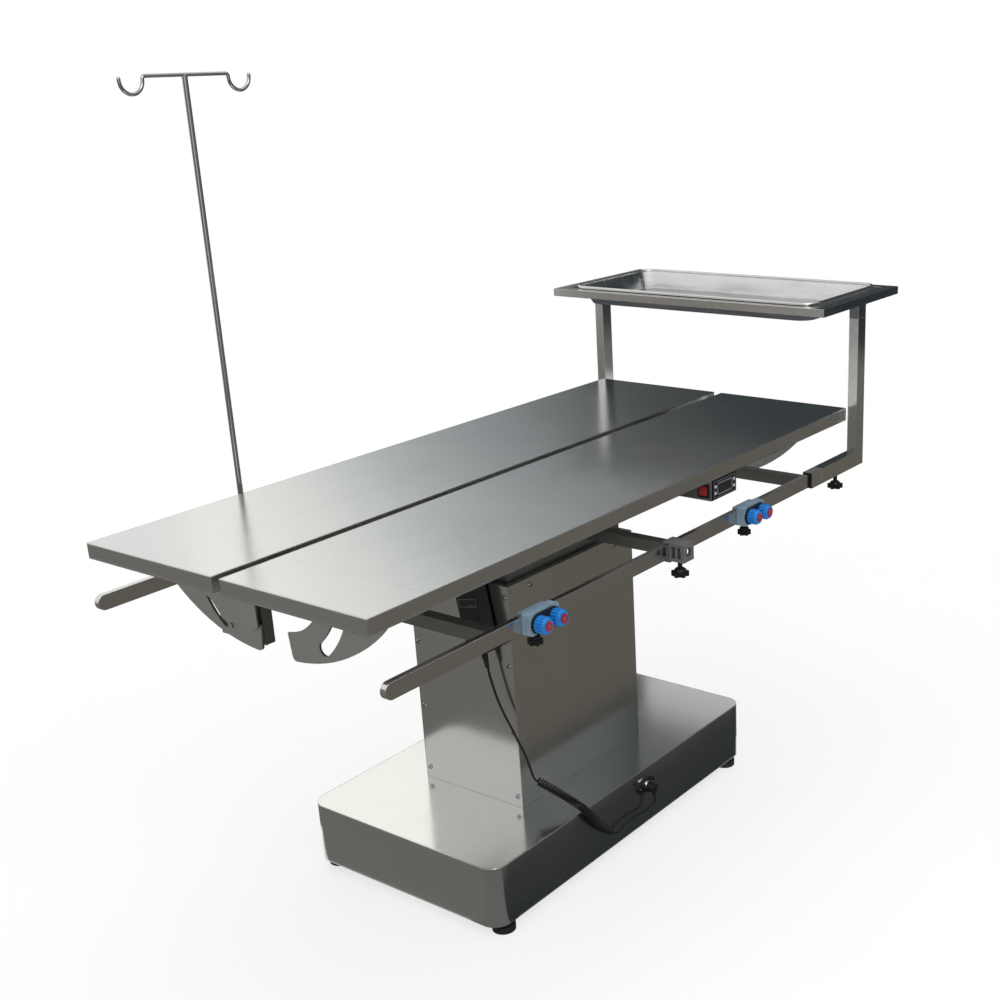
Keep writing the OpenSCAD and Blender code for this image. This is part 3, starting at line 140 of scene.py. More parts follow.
def coil_points():
    """The curls, which widen out of their own axis and narrow back into it."""
    line = spline(coil_route, ROUTE_PARTS)
    way = ways(line)
    n = TURNS * RINGS + 2 * LEAD
    step = (way[-1] - 2 * LEAD * LEAD_STEP) / (TURNS * RINGS + 2 * RINGS * (OPEN - 1))
    d, stops = 0.0, [0.0]
    for i in range(n):
        if i < LEAD or i >= n - LEAD:
            d += LEAD_STEP
        elif i < LEAD + RINGS or i >= n - LEAD - RINGS:
            d += step * OPEN
        else:
            d += step
        stops.append(min(d, way[-1]))
    fine = [stops[i] + (stops[i + 1] - stops[i]) * k / FINER for i in range(n) for k in range(FINER)]
    axis = [at_way(line, way, w) for w in fine + [stops[-1]]]
    last = len(axis) - 1
    tangents = [(axis[min(i + 1, last)] - axis[max(i - 1, 0)]).normalized() for i in range(last + 1)]
    v = tangents[0].cross(Vector((0, 1, 1))).normalized()
    r = (COIL_D - CORD_D) / 2
    out = []
    for i, tan in enumerate(tangents):
        t = i / FINER
        v = (v - v.dot(tan) * tan).normalized()
        grown = max(0, min(1, (t - LEAD) / RINGS * 2, (n - LEAD - t) / RINGS * 2))
        a = 2 * math.pi * (t - LEAD) / RINGS
        out.append(axis[i] + r * grown * (math.cos(a) * v + math.sin(a) * tan.cross(v)))
    return out


def even(points, step):
    """Points on a smooth curve about one step apart."""
    line = spline(points, ROUTE_PARTS)
    way = ways(line)
    n = max(2, round(way[-1] / step))
    return [at_way(line, way, way[-1] * i / n) for i in range(n + 1)]


def relax(points, middle, reach=14, rounds=30, fade=8):
    """Eases the bends about one point of a path, less and less over the last few points of the reach."""
    for _ in range(rounds):
        was = list(points)
        for i in range(middle - reach, middle + reach + 1):
            share = 0.5 * min(1.0, (reach - abs(i - middle) + 1) / fade)
            points[i] = was[i].lerp((was[i - 1] + was[i + 1]) / 2, share)


def tube(name, points, radius, girth, mat):
    """A round cord along points; girth gives the share of the radius at each."""
    data = bpy.data.curves.new(name, "CURVE")
    data.dimensions = "3D"
    data.bevel_depth = radius
    data.bevel_resolution = 3
    data.use_fill_caps = True
    s = data.splines.new("POLY")
    s.points.add(len(points) - 1)
    for p, q, g in zip(s.points, points, girth):
        p.co = (*q, 1)
        p.radius = g
    s.use_smooth = True
    data.materials.append(mat)
    o = bpy.data.objects.new(name, data)
    bpy.context.scene.collection.objects.link(o)
    return o


# ---------------------------------------------------------------- materials
NOISE_LOW, NOISE_HIGH = 0.3, 0.7        # nearly all of a noise lies between these


class Tree:
    """A node tree under construction."""

    def __init__(self, tree):
        self.t = tree

    def node(self, kind, **settings):
        n = self.t.nodes.new(kind)
        for k, v in settings.items():
            setattr(n, k, v)
        return n

    def link(self, a, b):
        self.t.links.new(a, b)

    def split(self, vector):
        """The outputs X, Y and Z of a vector."""
        sep = self.node("ShaderNodeSeparateXYZ")
        self.link(vector, sep.inputs[0])
        return sep.outputs

    def ramp(self, fac, stops, interp="LINEAR"):
        r = self.node("ShaderNodeValToRGB")
        r.color_ramp.interpolation = interp
        while len(r.color_ramp.elements) < len(stops):
            r.color_ramp.elements.new(0.5)
        for e, (p, c) in zip(r.color_ramp.elements, stops):
            e.position = p
            e.color = (*c, 1)
        self.link(fac, r.inputs["Fac"])
        return r.outputs["Color"]

    def span(self, fac, a, b, c, d):
        """A value from a to b as one from c to d."""
        r = self.node("ShaderNodeMapRange")
        for k, v in zip(("From Min", "From Max", "To Min", "To Max"), (a, b, c, d)):
            r.inputs[k].default_value = v
        self.link(fac, r.inputs["Value"])
        return r.outputs["Result"]

    def math(self, op, a, b=0.0):
        n = self.node("ShaderNodeMath", operation=op)
        for i, v in enumerate((a, b)):
            if isinstance(v, (int, float)):
                n.inputs[i].default_value = v
            else:
                self.link(v, n.inputs[i])
        return n.outputs[0]

    def mix(self, fac, a, b):
        """A colour between a and b; each may be a link or a plain value."""
        n = self.node("ShaderNodeMix", data_type="RGBA")
        for i, v in ((0, fac), (6, a), (7, b)):
            if hasattr(v, "links"):
                self.link(v, n.inputs[i])
            else:
                n.inputs[i].default_value = v if isinstance(v, (int, float)) else (*v, 1)
        return n.outputs[2]


class Mat(Tree):
    """A material under construction; values are set on its Principled BSDF."""

    def __init__(self, name, **values):
        self.m = bpy.data.materials.new(name)
        self.m.use_nodes = True
        super().__init__(self.m.node_tree)
        self.s = self.t.nodes["Principled BSDF"]
        for k, v in values.items():
            self.s.inputs[k.replace("_", " ")].default_value = v
        self.co = self.node("ShaderNodeTexCoord").outputs["Object"]

    def scaled(self, scale):
        """The object's own coordinates times a scale."""
        mp = self.node("ShaderNodeMapping")
        mp.inputs["Scale"].default_value = scale
        self.link(self.co, mp.inputs["Vector"])
        return mp.outputs["Vector"]

    def noise(self, scale, detail, rough=0.55):
        where = self.scaled(scale)
        n = self.node("ShaderNodeTexNoise")
        n.inputs["Scale"].default_value = 1.0
        n.inputs["Detail"].default_value = detail
        n.inputs["Roughness"].default_value = rough
        self.link(where, n.inputs["Vector"])
        return n.outputs["Fac"]

    def vary(self, noise, low, high):
        """A noise as a value between low and high."""
        return self.span(noise, NOISE_LOW, NOISE_HIGH, low, high)

    def about_one(self, noise, share):
        return self.vary(noise, 1 - share, 1 + share)

    def tones(self, noise, dark, light):
        """A noise as a colour between dark and light."""
        return self.ramp(noise, [(NOISE_LOW, dark), (NOISE_HIGH, light)])

    def bump(self, height, strength, distance, normal):
        b = self.node("ShaderNodeBump")
        b.inputs["Strength"].default_value = strength
        b.inputs["Distance"].default_value = distance
        self.link(height, b.inputs["Height"])
        self.link(normal, b.inputs["Normal"])
        return b.outputs["Normal"]

    def edge(self, radius):
        """The surface with its edges rounded."""
        b = self.node("ShaderNodeBevel", samples=6)
        b.inputs["Radius"].default_value = radius
        return b.outputs["Normal"]

    def glow(self):
        return self.node("ShaderNodeEmission")

    def blend(self, fac, a, b):
        """A shader node that is a at 0 and b at 1."""
        n = self.node("ShaderNodeMixShader")
        self.link(fac, n.inputs[0])
        self.link(a.outputs[0], n.inputs[1])
        self.link(b.outputs[0], n.inputs[2])
        return n

    def to(self, name, value):
        self.link(value, self.s.inputs[name])

    def surface(self, shader):
        self.link(shader.outputs[0], self.t.nodes["Material Output"].inputs[0])


def streaks(across, along, axis):
    """Scale of a noise that is drawn out along one axis."""
    return tuple(along if k == axis else across for k in "XYZ")


def brushed(name, along, rough, lines, tint=(0.66, 0.66, 0.645), edge=0.0012, cloud=0.5, cut=1.0):
    """Brushed stainless sheet: very fine lines along one axis, cloudy gloss and faint handling marks.

    lines and cloud say how much of these shows, cut how bright the cut edges of plates are."""
    m = Mat(name, Metallic=1.0)
    line = m.noise(streaks(1500, 9, along), detail=2, rough=0.6)
    band = m.noise(streaks(210, 3, along), detail=4, rough=0.6)
    haze = m.noise((2.6, 2.6, 2.6), detail=6, rough=0.62)
    wipe = m.noise((7, 11, 8), detail=5, rough=0.6)
    spots = m.noise((38, 38, 38), detail=4, rough=0.72)
    shade = m.math("MULTIPLY", m.about_one(line, 0.10 * lines), m.about_one(band, 0.06 * lines))
    shade = m.math("MULTIPLY", shade, m.about_one(haze, 0.07 * cloud))
    if cut < 1:
        # The plates' broad faces look along X, so what looks another way is a cut edge
        normal = m.node("ShaderNodeNewGeometry").outputs["True Normal"]
        broad = m.math("ABSOLUTE", m.split(normal)["X"])
        shade = m.math("MULTIPLY", shade, m.span(broad, 0.3, 0.6, cut, 1.0))
    base = m.node("ShaderNodeMix", data_type="RGBA", blend_type="MULTIPLY")
    base.inputs[0].default_value = 1.0
    base.inputs[6].default_value = (*tint, 1)
    grey = m.node("ShaderNodeCombineColor")
    for k in range(3):
        m.link(shade, grey.inputs[k])
    m.link(grey.outputs[0], base.inputs[7])
    m.to("Base Color", base.outputs[2])
    r = m.math("ADD", m.vary(haze, *rough), m.span(spots, 0.56, 0.8, 0.0, 0.05))
    r = m.math("ADD", r, m.span(wipe, 0.5, 0.75, 0.0, 0.05 * cloud))
    m.to("Roughness", m.math("ADD", r, m.vary(line, -0.02, 0.02)))
    n = m.bump(line, 0.03 * lines, 0.0003, m.edge(edge))
    m.to("Normal", m.bump(haze, 0.07 * cloud, 0.002, n))
    return m.m


def polished(name, tint, rough):
    m = Mat(name, Metallic=1.0)
    haze = m.noise((9, 9, 9), detail=5, rough=0.6)
    wipe = m.noise((60, 14, 60), detail=3, rough=0.6)
    m.to("Base Color", m.tones(haze, tuple(0.93 * c for c in tint), tint))
    m.to("Roughness", m.math("ADD", m.vary(haze, *rough), m.span(wipe, 0.4, 0.7, 0.0, 0.05)))
    m.to("Normal", m.bump(haze, 0.06, 0.001, m.edge(0.0008)))
    return m.m


def pan_steel(name, tint=(0.70, 0.70, 0.69)):
    """Bright deep-drawn sheet, darker and greyer low down, where a dark reflection is painted into its colour."""
    m = Mat(name, Metallic=1.0)
    haze = m.noise((7, 7, 9), detail=5, rough=0.6)
    wipe = m.noise((26, 5, 60), detail=4, rough=0.6)
    floor_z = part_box("tray_pan")[0][2]
    # Painted dark reflection: a darker bluish grey low in the pan, faded out over the lowest 3 cm or so
    height = m.math("ADD", m.split(m.co)["Z"], m.vary(haze, -0.006, 0.006))
    high = m.span(height, floor_z + 0.003, floor_z + 0.030, 0.0, 1.0)
    painted_reflection = m.ramp(wipe, [(0.35, (0.40, 0.415, 0.43)), (0.62, (0.62, 0.62, 0.61))])
    m.to("Base Color", m.mix(high, painted_reflection, m.tones(haze, tuple(0.86 * c for c in tint), tint)))
    m.to("Roughness", m.math("ADD", m.vary(haze, 0.20, 0.30), m.span(wipe, 0.4, 0.7, 0.0, 0.06)))
    m.to("Normal", m.bump(haze, 0.10, 0.001, m.edge(0.001)))
    return m.m


def plastic(name, tint, rough=(0.38, 0.52), grain=0.25, grain_size=900, gloss=0.5):
    m = Mat(name, Specular_IOR_Level=gloss)
    fine = m.noise((grain_size,) * 3, detail=2, rough=0.6)
    haze = m.noise((30, 30, 30), detail=4, rough=0.6)
    dark = tuple(c * 0.9 for c in tint)
    light = tuple(min(1, c * 1.1 + 0.004) for c in tint)
    m.to("Base Color", m.tones(haze, dark, light))
    m.to("Roughness", m.vary(haze, *rough))
    m.to("Normal", m.bump(fine, grain, 0.0003, m.edge(0.0006)))
    return m.m


def painted(name, tint, rough=(0.42, 0.58)):
    m = Mat(name)
    peel = m.noise((260, 260, 260), detail=2, rough=0.5)
    haze = m.noise((7, 7, 7), detail=5, rough=0.6)
    m.to("Base Color", m.tones(haze, tuple(c * 0.85 for c in tint), tuple(c * 1.2 + 0.004 for c in tint)))
    m.to("Roughness", m.vary(haze, *rough))
    m.to("Normal", m.bump(peel, 0.15, 0.0003, m.edge(0.001)))
    return m.m


AXLE_Z = 588                            # height of the rope rollers' axles, in part.scad
AXLE_OFF = 0.0176                       # from the middle of a cap to each axle, in metres
RING_IN, RING_OUT = 0.0013, 0.0031      # radii of the metal ring round an axle's end


def red_cap(name, x):
    """Red plastic whose two cap faces carry a bright metal ring round each axle's end."""
    m = Mat(name)
    place = m.split(m.co)
    mid = at(x, 0, AXLE_Z)
    u = m.math("SUBTRACT", m.math("ABSOLUTE", m.math("SUBTRACT", place["X"], mid.x)), AXLE_OFF)
    v = m.math("SUBTRACT", place["Z"], mid.z)
    r = m.math("SQRT", m.math("ADD", m.math("MULTIPLY", u, u), m.math("MULTIPLY", v, v)))
    ring = m.math("MULTIPLY", m.math("GREATER_THAN", r, RING_IN), m.math("LESS_THAN", r, RING_OUT))
    haze = m.noise((40, 40, 40), detail=4, rough=0.6)
    red = m.tones(haze, (0.24, 0.008, 0.026), (0.34, 0.014, 0.04))
    m.to("Base Color", m.mix(ring, red, (0.62, 0.60, 0.57)))
    m.to("Metallic", ring)
    m.to("Roughness", m.vary(haze, 0.3, 0.42))
    m.to("Normal", m.edge(0.0005))
    return m.m


TOP = brushed("steel_top", "X", (0.17, 0.23), lines=0.14, cloud=0.4, edge=0.0034)
BASE = brushed("steel_base", "X", (0.14, 0.20), lines=0.16, edge=0.0032)
COLUMN = brushed("steel_column", "Z", (0.13, 0.19), lines=0.12, cloud=0.35)
TUBE_X = brushed("steel_tube_x", "X", (0.14, 0.20), lines=0.12, cloud=0.2)
TUBE_Y = brushed("steel_tube_y", "Y", (0.14, 0.20), lines=0.12, cloud=0.2, tint=(0.72, 0.72, 0.705))
TUBE_Z = brushed("steel_tube_z", "Z", (0.14, 0.20), lines=0.12, cloud=0.2)
PLATE = brushed("steel_plate", "Z", (0.32, 0.42), lines=0.2, edge=0.0003, cut=0.3)
# Frame under the table top: its dark tint is painted shade
FRAME_PAINTED_SHADE = brushed("steel_frame_painted_shade", "Y", (0.32, 0.42), lines=0.2, tint=(0.28, 0.28, 0.27))
PAN = pan_steel("steel_polished")
BRIGHT = polished("steel_bright", (0.46, 0.465, 0.46), (0.12, 0.20))
BLACK = plastic("black_plastic", (0.007, 0.007, 0.008), gloss=0.28)
SHELL = plastic("handset_plastic", (0.006, 0.007, 0.009), rough=(0.3, 0.4), grain=0.15, gloss=0.35)
RUBBER = plastic("black_rubber", (0.010, 0.010, 0.010), rough=(0.62, 0.8), grain=0.4, gloss=0.3)
CORD = plastic("cord_black", (0.007, 0.007, 0.008), rough=(0.42, 0.52), grain=0.1, gloss=0.3)
BLUE = plastic("blue_plastic", (0.006, 0.17, 0.52), rough=(0.34, 0.46), grain=0.08, gloss=0.35)
RED = plastic("red_plastic", (0.33, 0.02, 0.018), rough=(0.28, 0.4), grain=0.05)
GREY_BLUE = plastic("grey_blue_plastic", (0.17, 0.245, 0.31), rough=(0.42, 0.55))
CAST = plastic("cast_alloy", (0.10, 0.10, 0.10), rough=(0.45, 0.6), grain=0.6, grain_size=500)
DARK = painted("dark_paint", (0.020, 0.020, 0.022))
SLEEVE = painted("sleeve_paint", (0.085, 0.082, 0.078), rough=(0.36, 0.5))
CAP_1 = red_cap("red_caps_1", -338)
CAP_2 = red_cap("red_caps_2", 248)
GLASS = plastic("display_glass", (0.008, 0.010, 0.012), rough=(0.12, 0.2), grain=0.02)
MARK = plastic("light_print", (0.42, 0.43, 0.44), rough=(0.4, 0.5), grain=0.05)
MARK_DIM = plastic("dim_print", (0.12, 0.125, 0.135), rough=(0.4, 0.5), grain=0.05)

LOOKS = (
    (TOP, "right_pan left_pan"),
    (BASE, "base_cover thermostat_box"),
    (COLUMN, "column_ends column_sides handset_holder"),
    (TUBE_X, "rail_right rail_left"),
    (TUBE_Y, "tray_frame"),
    (TUBE_Z, "inner_guide"),
    (PLATE, "lock_brackets right_tilt_plates left_tilt_plates"),
    (FRAME_PAINTED_SHADE, "table_frame"),
    (PAN, "tray_pan"),
    (BRIGHT, "column_screws socket_ring drip_stand hinge_pins actuator_rod"),
    (BLACK, "base_sockets cord_plug key_up key_down control_bezels rope_pad_1 rope_pad_2"),
    (BLACK, "rope_knob_1 rope_knob_2 socket_knob stand_knob"),
    (BLACK, "tray_knob_right tray_knob_left tilt_knob_right tilt_knob_left"),
    (SHELL, "handset_shell"),
    (RUBBER, "foot_near_right foot_near_left foot_far_right foot_far_left strain_relief"),
    (BLUE, "rope_cam_1a rope_cam_1b rope_cam_2a rope_cam_2b"),
    (RED, "power_switch"),
    (GREY_BLUE, "rope_block_1 rope_block_2"),
    (CAST, "socket_clamp stand_clamp"),
    (DARK, "base_frame column_frame actuator_body"),
    (SLEEVE, "inner_sleeve"),
    (CAP_1, "rope_caps_1"),
    (CAP_2, "rope_caps_2"),
)
for mat, names in LOOKS:
    for o in (NODES[name] for name in names.split()):
        if not o.material_slots:
            o.data.materials.append(mat)
        for s in o.material_slots:
            s.material = mat


# ---------------------------------------------------------------- the handset's cord
def cord_piece():
    pts = even(upper_route, ROUTE_STEP)[:-1] + coil_points() + even(lower_route, ROUTE_STEP)[1:]
    every = [at(*p) for p in pts]
    pts = [every[0]]
    for p in every[1:]:
        if (p - pts[-1]).length > LEAST_STEP:
            pts.append(p)
    # Where the cord runs into its curls and out of them
    for end, turn_in in ((coil_high, EASED_AT), (coil_low, -EASED_AT)):
        nearest = min(range(len(pts)), key=lambda i: (pts[i] - at(*end)).length)
        relax(pts, nearest + turn_in)
    # The straight upper stretch keeps its outer sheath, which ends just above the curls
    z_end = at(*coil_high).z
    girth = [1.0 + SHEATH * max(0.0, min(1.0, (p.z - z_end - 0.004) / 0.006)) for p in pts]
    o = tube("handset_cord", pts, CORD_D / 2 / MM, girth, CORD)
    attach(o, "base")
    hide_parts("cord_upper", "cord_coil", "cord_lower")


cord_piece()


# ---------------------------------------------------------------- small trim, in part.scad's millimetres
def join_parts(name, parts, mat, body, turn=None):
    """One mesh from slabs, outlines and turned keys; turn, where given, places their points first."""
    bm = bmesh.new()
    for make, args in parts:
        make(bm, *args)
    for v in bm.verts:
        v.co = at(*(turn(v.co) if turn else v.co))
    me = bpy.data.meshes.new(name)
    bm.to_mesh(me)
    bm.free()
    me.materials.append(mat)
    o = bpy.data.objects.new(name, me)
    bpy.context.scene.collection.objects.link(o)
    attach(o, body)
    return o


def about(mid, half):
    """The two corners of a box from its middle and half its size."""
    return tuple(m - h for m, h in zip(mid, half)), tuple(m + h for m, h in zip(mid, half))


def slab(bm, lo, hi, r):
    """Box from corner to corner with its edges softened by r."""
    made = bmesh.ops.create_cube(bm, size=1)["verts"]
    for v in made:
        v.co = Vector(((lo[k] + hi[k]) / 2 + v.co[k] * (hi[k] - lo[k]) for k in range(3)))
    edges = list({e for v in made for e in v.link_edges})
    bmesh.ops.bevel(bm, geom=edges, offset=r, segments=2, affect="EDGES", profile=0.5)


def lathe(bm, centre, axis, profile, n):
    """Solid of revolution: profile is (radius, way along the axis), closed on the axis at both ends."""
    a = Vector(axis).normalized()
    u = a.orthogonal().normalized()
    w = a.cross(u)
    c = Vector(centre)
    turns = [2 * math.pi * k / n for k in range(n)]
    rows = []
    for r, t in profile:
        if r == 0:
            rows.append([bm.verts.new(c + a * t)])
        else:
            rows.append([bm.verts.new(c + a * t + r * (math.cos(q) * u + math.sin(q) * w)) for q in turns])
    for p, q in zip(rows, rows[1:]):
        for k in range(n):
            m = (k + 1) % n
            if len(p) == 1:
                bm.faces.new((p[0], q[k], q[m]))
            elif len(q) == 1:
                bm.faces.new((p[k], q[0], p[m]))
            else:
                bm.faces.new((p[k], q[k], q[m], p[m]))


def outline(bm, mid, wide, high, bar, t, axis):
    """Thin rectangle of four bars; axis is the way it stands out, by t, from the face it lies in."""
    out = "xy".index(axis)
    across = 1 - out
    for s in (-1, 1):
        lying = (0, wide / 2, s * (high / 2 - bar / 2), bar / 2)
        standing = (s * (wide / 2 - bar / 2), bar / 2, 0, high / 2)
        for off, half_wide, up, half_high in (lying, standing):
            place, half = list(mid), [t, t, half_high]
            place[across] += off
            place[2] += up
            half[across] = half_wide
            slab(bm, *about(place, half), 0.1)


THERMOSTAT = (201, -300, 646)           # middle of its face
KEY = [(0, 0), (3.0, 0), (3.0, 0.9), (2.5, 1.3), (0, 1.4)]
KEY_X, KEY_Z = 30, 6                    # from the middle of the face to a key


def thermostat_face():
    x, y, z = THERMOSTAT
    frames = [(outline, (THERMOSTAT, 50, 22, 2.6, 0.5, "y")), (outline, (THERMOSTAT, 70, 30, 0.9, 0.3, "y"))]
    join_parts("thermostat_frame", frames, MARK_DIM, "right_panel")
    display = [(slab, (*about(THERMOSTAT, (22, 0.4, 8)), 0.3))]
    join_parts("thermostat_display", display, GLASS, "right_panel")
    keys = [(lathe, ((x + sx * KEY_X, y + 0.4, z + sz * KEY_Z), (0, -1, 0), KEY, 20))
            for sx in (-1, 1) for sz in (-1, 1)]
    join_parts("thermostat_keys", keys, MARK, "right_panel")


COLUMN_X, COLUMN_LOW, COLUMN_TOP = 1, 131, 542
COLUMN_HALF_X, COLUMN_HALF_Y = 173, 114
HOLDER_T = 3.7                          # thickness of the handset's holder
HAND_T = 26                             # thickness of the handset
HAND_Y, HAND_Z = -37.5, 567             # middle of its upper end
HAND_LEAN = math.radians(11)


def handset_face():
    """Window outline, a mark of five strokes and the seam, drawn upright from the upper end down."""
    x = COLUMN_X - COLUMN_HALF_X - HOLDER_T - HAND_T

    def leaned(p):
        return (p[0], HAND_Y + p[1] * math.cos(HAND_LEAN) + p[2] * math.sin(HAND_LEAN),
                HAND_Z - p[1] * math.sin(HAND_LEAN) + p[2] * math.cos(HAND_LEAN))

    window = [(outline, ((x, 0, -57), 39, 14, 0.7, 0.2, "x"))]
    join_parts("handset_window", window, MARK_DIM, "base", leaned)
    strokes = []
    for k in range(5):
        y, z = -4 - 2.4 * k, -60 - 0.9 * k
        strokes.append((slab, ((x - 0.2, y - 1.6, z), (x + 0.2, y + 0.4, z + 0.8), 0.08)))
    join_parts("handset_mark", strokes, MARK_DIM, "base", leaned)
    seam = [(slab, ((x + 12.6, -24.15, -139), (x + 13.4, 24.15, -6), 0.1))]
    join_parts("handset_seam", seam, BLACK, "base", leaned)


HEAD_H = 2.5                            # height of a screw's head
SCREW_IN = 10                           # from the column's corner to its end screws
SCREW_SHARES = (0.05, 0.35, 0.65, 0.95)     # how far up the column they sit
SIDE_SCREW_X, SIDE_SCREW_DROP = 117, 13     # its side screws
CROSS = ((2.2, 0.5), (0.5, 2.2))        # half sizes of a recess's two bars
CROSS_DEPTH = 0.15


def painted_screw_recess_shade():
    """Black crosses on the heads of the column's screws: painted shade for their cross recesses."""
    parts = []
    height = COLUMN_TOP - COLUMN_LOW
    for i in (-1, 1):
        for j in (-1, 1):
            for share in SCREW_SHARES:
                mid = (COLUMN_X + i * (COLUMN_HALF_X + HEAD_H), j * (COLUMN_HALF_Y - SCREW_IN),
                       COLUMN_LOW + share * height)
                parts += [(slab, (*about(mid, (CROSS_DEPTH, wide, high)), 0.05)) for wide, high in CROSS]
            mid = (COLUMN_X + i * SIDE_SCREW_X, j * (COLUMN_HALF_Y + HEAD_H), COLUMN_TOP - SIDE_SCREW_DROP)
            parts += [(slab, (*about(mid, (wide, CROSS_DEPTH, high)), 0.05)) for wide, high in CROSS]
    join_parts("screw_recess_painted_shade", parts, BLACK, "base")


SLEEVE_W, SLEEVE_H = 20, 30             # outer size of a tray sleeve's end
LIP_IN = 0.3                            # from its outside to the lip
LIP_T, LIP_SIDE, LIP_FLAT = 0.9, 4.2, 2.0   # how far it stands out, and its width upright and lying


def sleeve_mouths():
    """Thin black rims round the ends of the tray sleeves, where they slide over the rails."""
    lo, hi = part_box("tray_frame")
    x = lo[0] * MM + OX
    y1 = hi[1] * MM + OY - LIP_IN
    z0 = lo[2] * MM + LIP_IN
    y0, z1 = y1 - (SLEEVE_W - 2 * LIP_IN), z0 + SLEEVE_H - 2 * LIP_IN
    bars = (((y0, z0), (y1, z0 + LIP_FLAT)), ((y0, z1 - LIP_FLAT), (y1, z1)),
            ((y0, z0), (y0 + LIP_SIDE, z1)), ((y1 - LIP_SIDE, z0), (y1, z1)))
    for side, name in ((-1, "right"), (1, "left")):
        parts = []
        for a, b in bars:
            ya, yb = sorted((side * a[0], side * b[0]))
            parts.append((slab, ((x - LIP_T, ya, a[1]), (x, yb, b[1]), 0.3)))
        join_parts("sleeve_lip_" + name, parts, BLACK, "tray_support")


thermostat_face()
handset_face()
painted_screw_recess_shade()
sleeve_mouths()


# ---------------------------------------------------------------- floor, world, lamps and cards
# How a card is turned: about X, then about Z
FLAT, FACE_DOWN = (0, 0), (math.pi, 0)
FLAT_ALONG_Y = (0, math.pi / 2)
UPRIGHT_ALONG_X, UPRIGHT_ALONG_Y = (math.pi / 2, 0), (math.pi / 2, math.pi / 2)
# What the photo's surroundings show in the steel
RIGHT_GROUND, RIGHT_WALL = (0.135, 0.124, 0.107), (0.21, 0.225, 0.235)
PLAIN_GREY = (0.15, 0.15, 0.145)


def stage_plane(name, size, loc, turn, mat):
    me = bpy.data.meshes.new(name)
    x, y = size[0] / 2, size[1] / 2
    me.from_pydata([(-x, -y, 0), (x, -y, 0), (x, y, 0), (-x, y, 0)], [], [(0, 1, 2, 3)])
    o = bpy.data.objects.new(name, me)
    o.matrix_world = Matrix.Translation(loc) @ Matrix.Rotation(turn[1], 4, "Z") @ Matrix.Rotation(turn[0], 4, "X")
    bpy.context.scene.collection.objects.link(o)
    me.materials.append(mat)
    return o


def card(name, size, loc, turn, m, shader):
    """Studio card that only shows in the metal's reflections."""
    m.surface(shader)
    o = stage_plane(name, size, loc, turn, m.m)
    o.visible_camera = False
    o.visible_diffuse = False
    o.visible_shadow = False
    o.visible_transmission = False


def plain(name, size, loc, turn, value):
    """Card of one brightness."""
    m = Mat(name)
    e = m.glow()
    e.inputs["Color"].default_value = (*value, 1)
    card(name, size, loc, turn, m, e)


def graded(name, size, loc, turn, stops, slope=None, one_side=False):
    """Card whose brightness changes along its length.

    slope gives the shares of its length and height in that change, and where it starts. With one_side
    it is clear from its back."""
    m = Mat(name)
    place = m.split(m.node("ShaderNodeTexCoord").outputs["Generated"])
    way = place["X"]
    if slope:
        along, up, start = slope
        way = m.math("ADD", m.math("MULTIPLY", way, along), m.math("MULTIPLY", place["Y"], up))
        way = m.math("ADD", way, start)
    shader = m.glow()
    m.link(m.ramp(way, stops, "EASE"), shader.inputs["Color"])
    if one_side:
        back = m.node("ShaderNodeNewGeometry").outputs["Backfacing"]
        shader = m.blend(back, shader, m.node("ShaderNodeBsdfTransparent"))
    card(name, size, loc, turn, m, shader)


def make_floor():
    """Pale floor: lit and shadowed near the table, plain white further out."""
    m = Mat("pale_floor", Roughness=0.9)
    m.to("Base Color", m.tones(m.noise((1.5, 1.5, 1.5), detail=3), (0.87, 0.87, 0.87), (0.89, 0.89, 0.89)))
    near = m.node("ShaderNodeTexGradient", gradient_type="SPHERICAL")
    m.link(m.scaled((0.42, 0.5, 1)), near.inputs["Vector"])
    white = m.glow()
    white.inputs["Color"].default_value = (1, 1, 1, 1)
    m.surface(m.blend(m.span(near.outputs["Fac"], 0.12, 0.5, 1.0, 0.72), m.s, white))
    stage_plane("floor", (60, 60), (0, 0, 0), FLAT, m.m)


def make_world():
    """Soft sky that lights the table; the camera and the steel see plain white."""
    world = bpy.data.worlds.new("studio")
    bpy.context.scene.world = world
    world.use_nodes = True
    w = Tree(world.node_tree)
    height = w.split(w.node("ShaderNodeTexCoord").outputs["Generated"])["Z"]
    sky = w.ramp(height, [(0.0, (0.52, 0.52, 0.53)), (0.6, (0.95, 0.95, 0.95))])
    path = w.node("ShaderNodeLightPath").outputs
    seen = path["Is Camera Ray"]
    for k in ("Is Glossy Ray", "Is Transmission Ray"):
        seen = w.math("MAXIMUM", seen, path[k])
    light = w.t.nodes["Background"]
    w.link(w.mix(seen, sky, (1, 1, 1)), light.inputs["Color"])
    light.inputs["Strength"].default_value = 1.0


def lamp(name, loc, target, size, power):
    d = bpy.data.lights.new(name, "AREA")
    d.shape = "RECTANGLE"
    d.size, d.size_y = size
    d.energy = power
    o = bpy.data.objects.new(name, d)
    o.location = loc
    o.rotation_euler = (Vector(target) - Vector(loc)).to_track_quat("-Z", "Y").to_euler()
    bpy.context.scene.collection.objects.link(o)
    return o


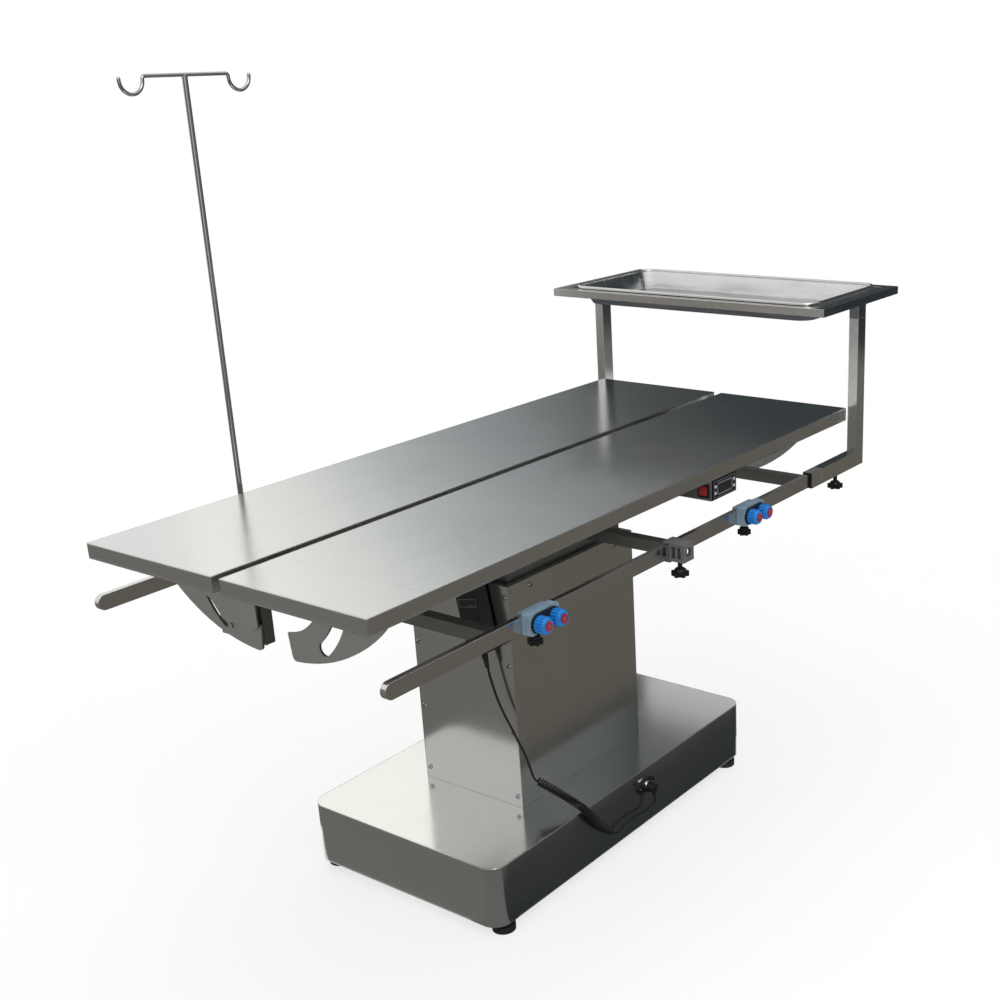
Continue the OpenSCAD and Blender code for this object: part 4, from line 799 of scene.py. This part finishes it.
def make_cards():
    # Behind the tray end: dark low on the right, lighter to the left, so the top darkens towards that end
    graded("flag_far", (4.4, 1.9), (1.5, 1.0, 1.55), UPRIGHT_ALONG_Y,
           [(0.0, (0.012, 0.018, 0.022)), (0.37, (0.040, 0.050, 0.055)), (0.44, (0.085, 0.092, 0.094)),
            (0.50, (0.175, 0.19, 0.195)), (0.55, (0.29, 0.315, 0.33)), (0.62, (0.395, 0.43, 0.445)),
            (0.68, (0.51, 0.55, 0.56)), (0.73, (0.73, 0.76, 0.75)), (0.80, (0.99, 1.00, 0.98)),
            (1.0, (1.26, 1.26, 1.20))], slope=(0.675, 0.358, 0.0415))
    # Low and close behind the base: keeps the far half of the base's top light
    plain("flag_low", (0.62, 0.30), (0.95, 0.19, 0.45), UPRIGHT_ALONG_Y, (0.66, 0.67, 0.66))
    # Right side: floor and upright cards for the faces towards -Y
    graded("flag_right_near", (0.24, 5.0), (2.1, -0.33, 0.004), FLAT_ALONG_Y,
           [(0.0, RIGHT_GROUND), (0.30, (0.080, 0.078, 0.072)), (0.5, (0.033, 0.036, 0.038)),
            (1.0, (0.026, 0.030, 0.033))])
    plain("flag_right_floor", (5.0, 3.09), (2.1, -1.925, 0.003), FLAT, RIGHT_GROUND)
    plain("flag_right_wall", (9.4, 4.4), (2.2, -3.5, 2.2), UPRIGHT_ALONG_X, RIGHT_WALL)
    plain("flag_right_end", (3.3, 4.4), (6.9, -1.85, 2.2), UPRIGHT_ALONG_Y, RIGHT_WALL)
    # Left side and beyond: mid greys for the faces towards -X
    plain("flag_left_floor", (2.6, 4.6), (-1.76, 2.15, 0.006), FLAT, (0.175, 0.170, 0.158))
    plain("flag_left_wall", (5.0, 1.5), (-3.15, 0.9, 0.75), UPRIGHT_ALONG_Y, (0.22, 0.205, 0.19))
    plain("flag_left_far", (1.7, 4.1), (0.38, 2.4, 0.005), FLAT, PLAIN_GREY)
    # Camera side: floor card for the rounded near corners
    plain("flag_near_floor", (3.46, 4.44), (-2.11, -2.35, 0.002), FLAT, (0.16, 0.16, 0.155))
    # Left of the top and lower than it, facing down: brightens the near half of the base's top
    graded("flag_base", (0.90, 0.90), (0.30, 0.85, 0.60), FACE_DOWN,
           [(0.0, (1.36, 1.35, 1.28)), (0.7, (1.30, 1.29, 1.24)), (1.0, (0.85, 0.85, 0.83))], one_side=True)
    # Close before the far tilt plates
    plain("flag_plate", (0.64, 0.16), (0.43, 0, 0.58), UPRIGHT_ALONG_Y, PLAIN_GREY)
    # Behind the table, for the faces towards +X
    plain("flag_back_floor", (4.35, 4.5), (2.575, 1.88, 0.002), FLAT, (0.20, 0.20, 0.195))
    # Under the tray: the top's far end mirrors a dull underside
    lo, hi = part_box("tray_frame")
    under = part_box("tray_pan")[0][2] - 0.006
    plain("flag_tray", (0.36, hi[1] - lo[1]), (hi[0] - 0.18, 0, under), FLAT, (0.10, 0.105, 0.11))


make_floor()
make_world()
lamp("key", (-1.5, -2.5, 3.2), (0, 0, 0.5), (2.0, 2.0), 40)
# Left out of the reflections, or the steel would clip to white in a view from above
lamp("top", (0.5, 0.5, 3.6), (0, 0, 0.6), (2.6, 2.6), 32).visible_glossy = False
make_cards()
bpy.context.scene.view_settings.view_transform = "Standard"
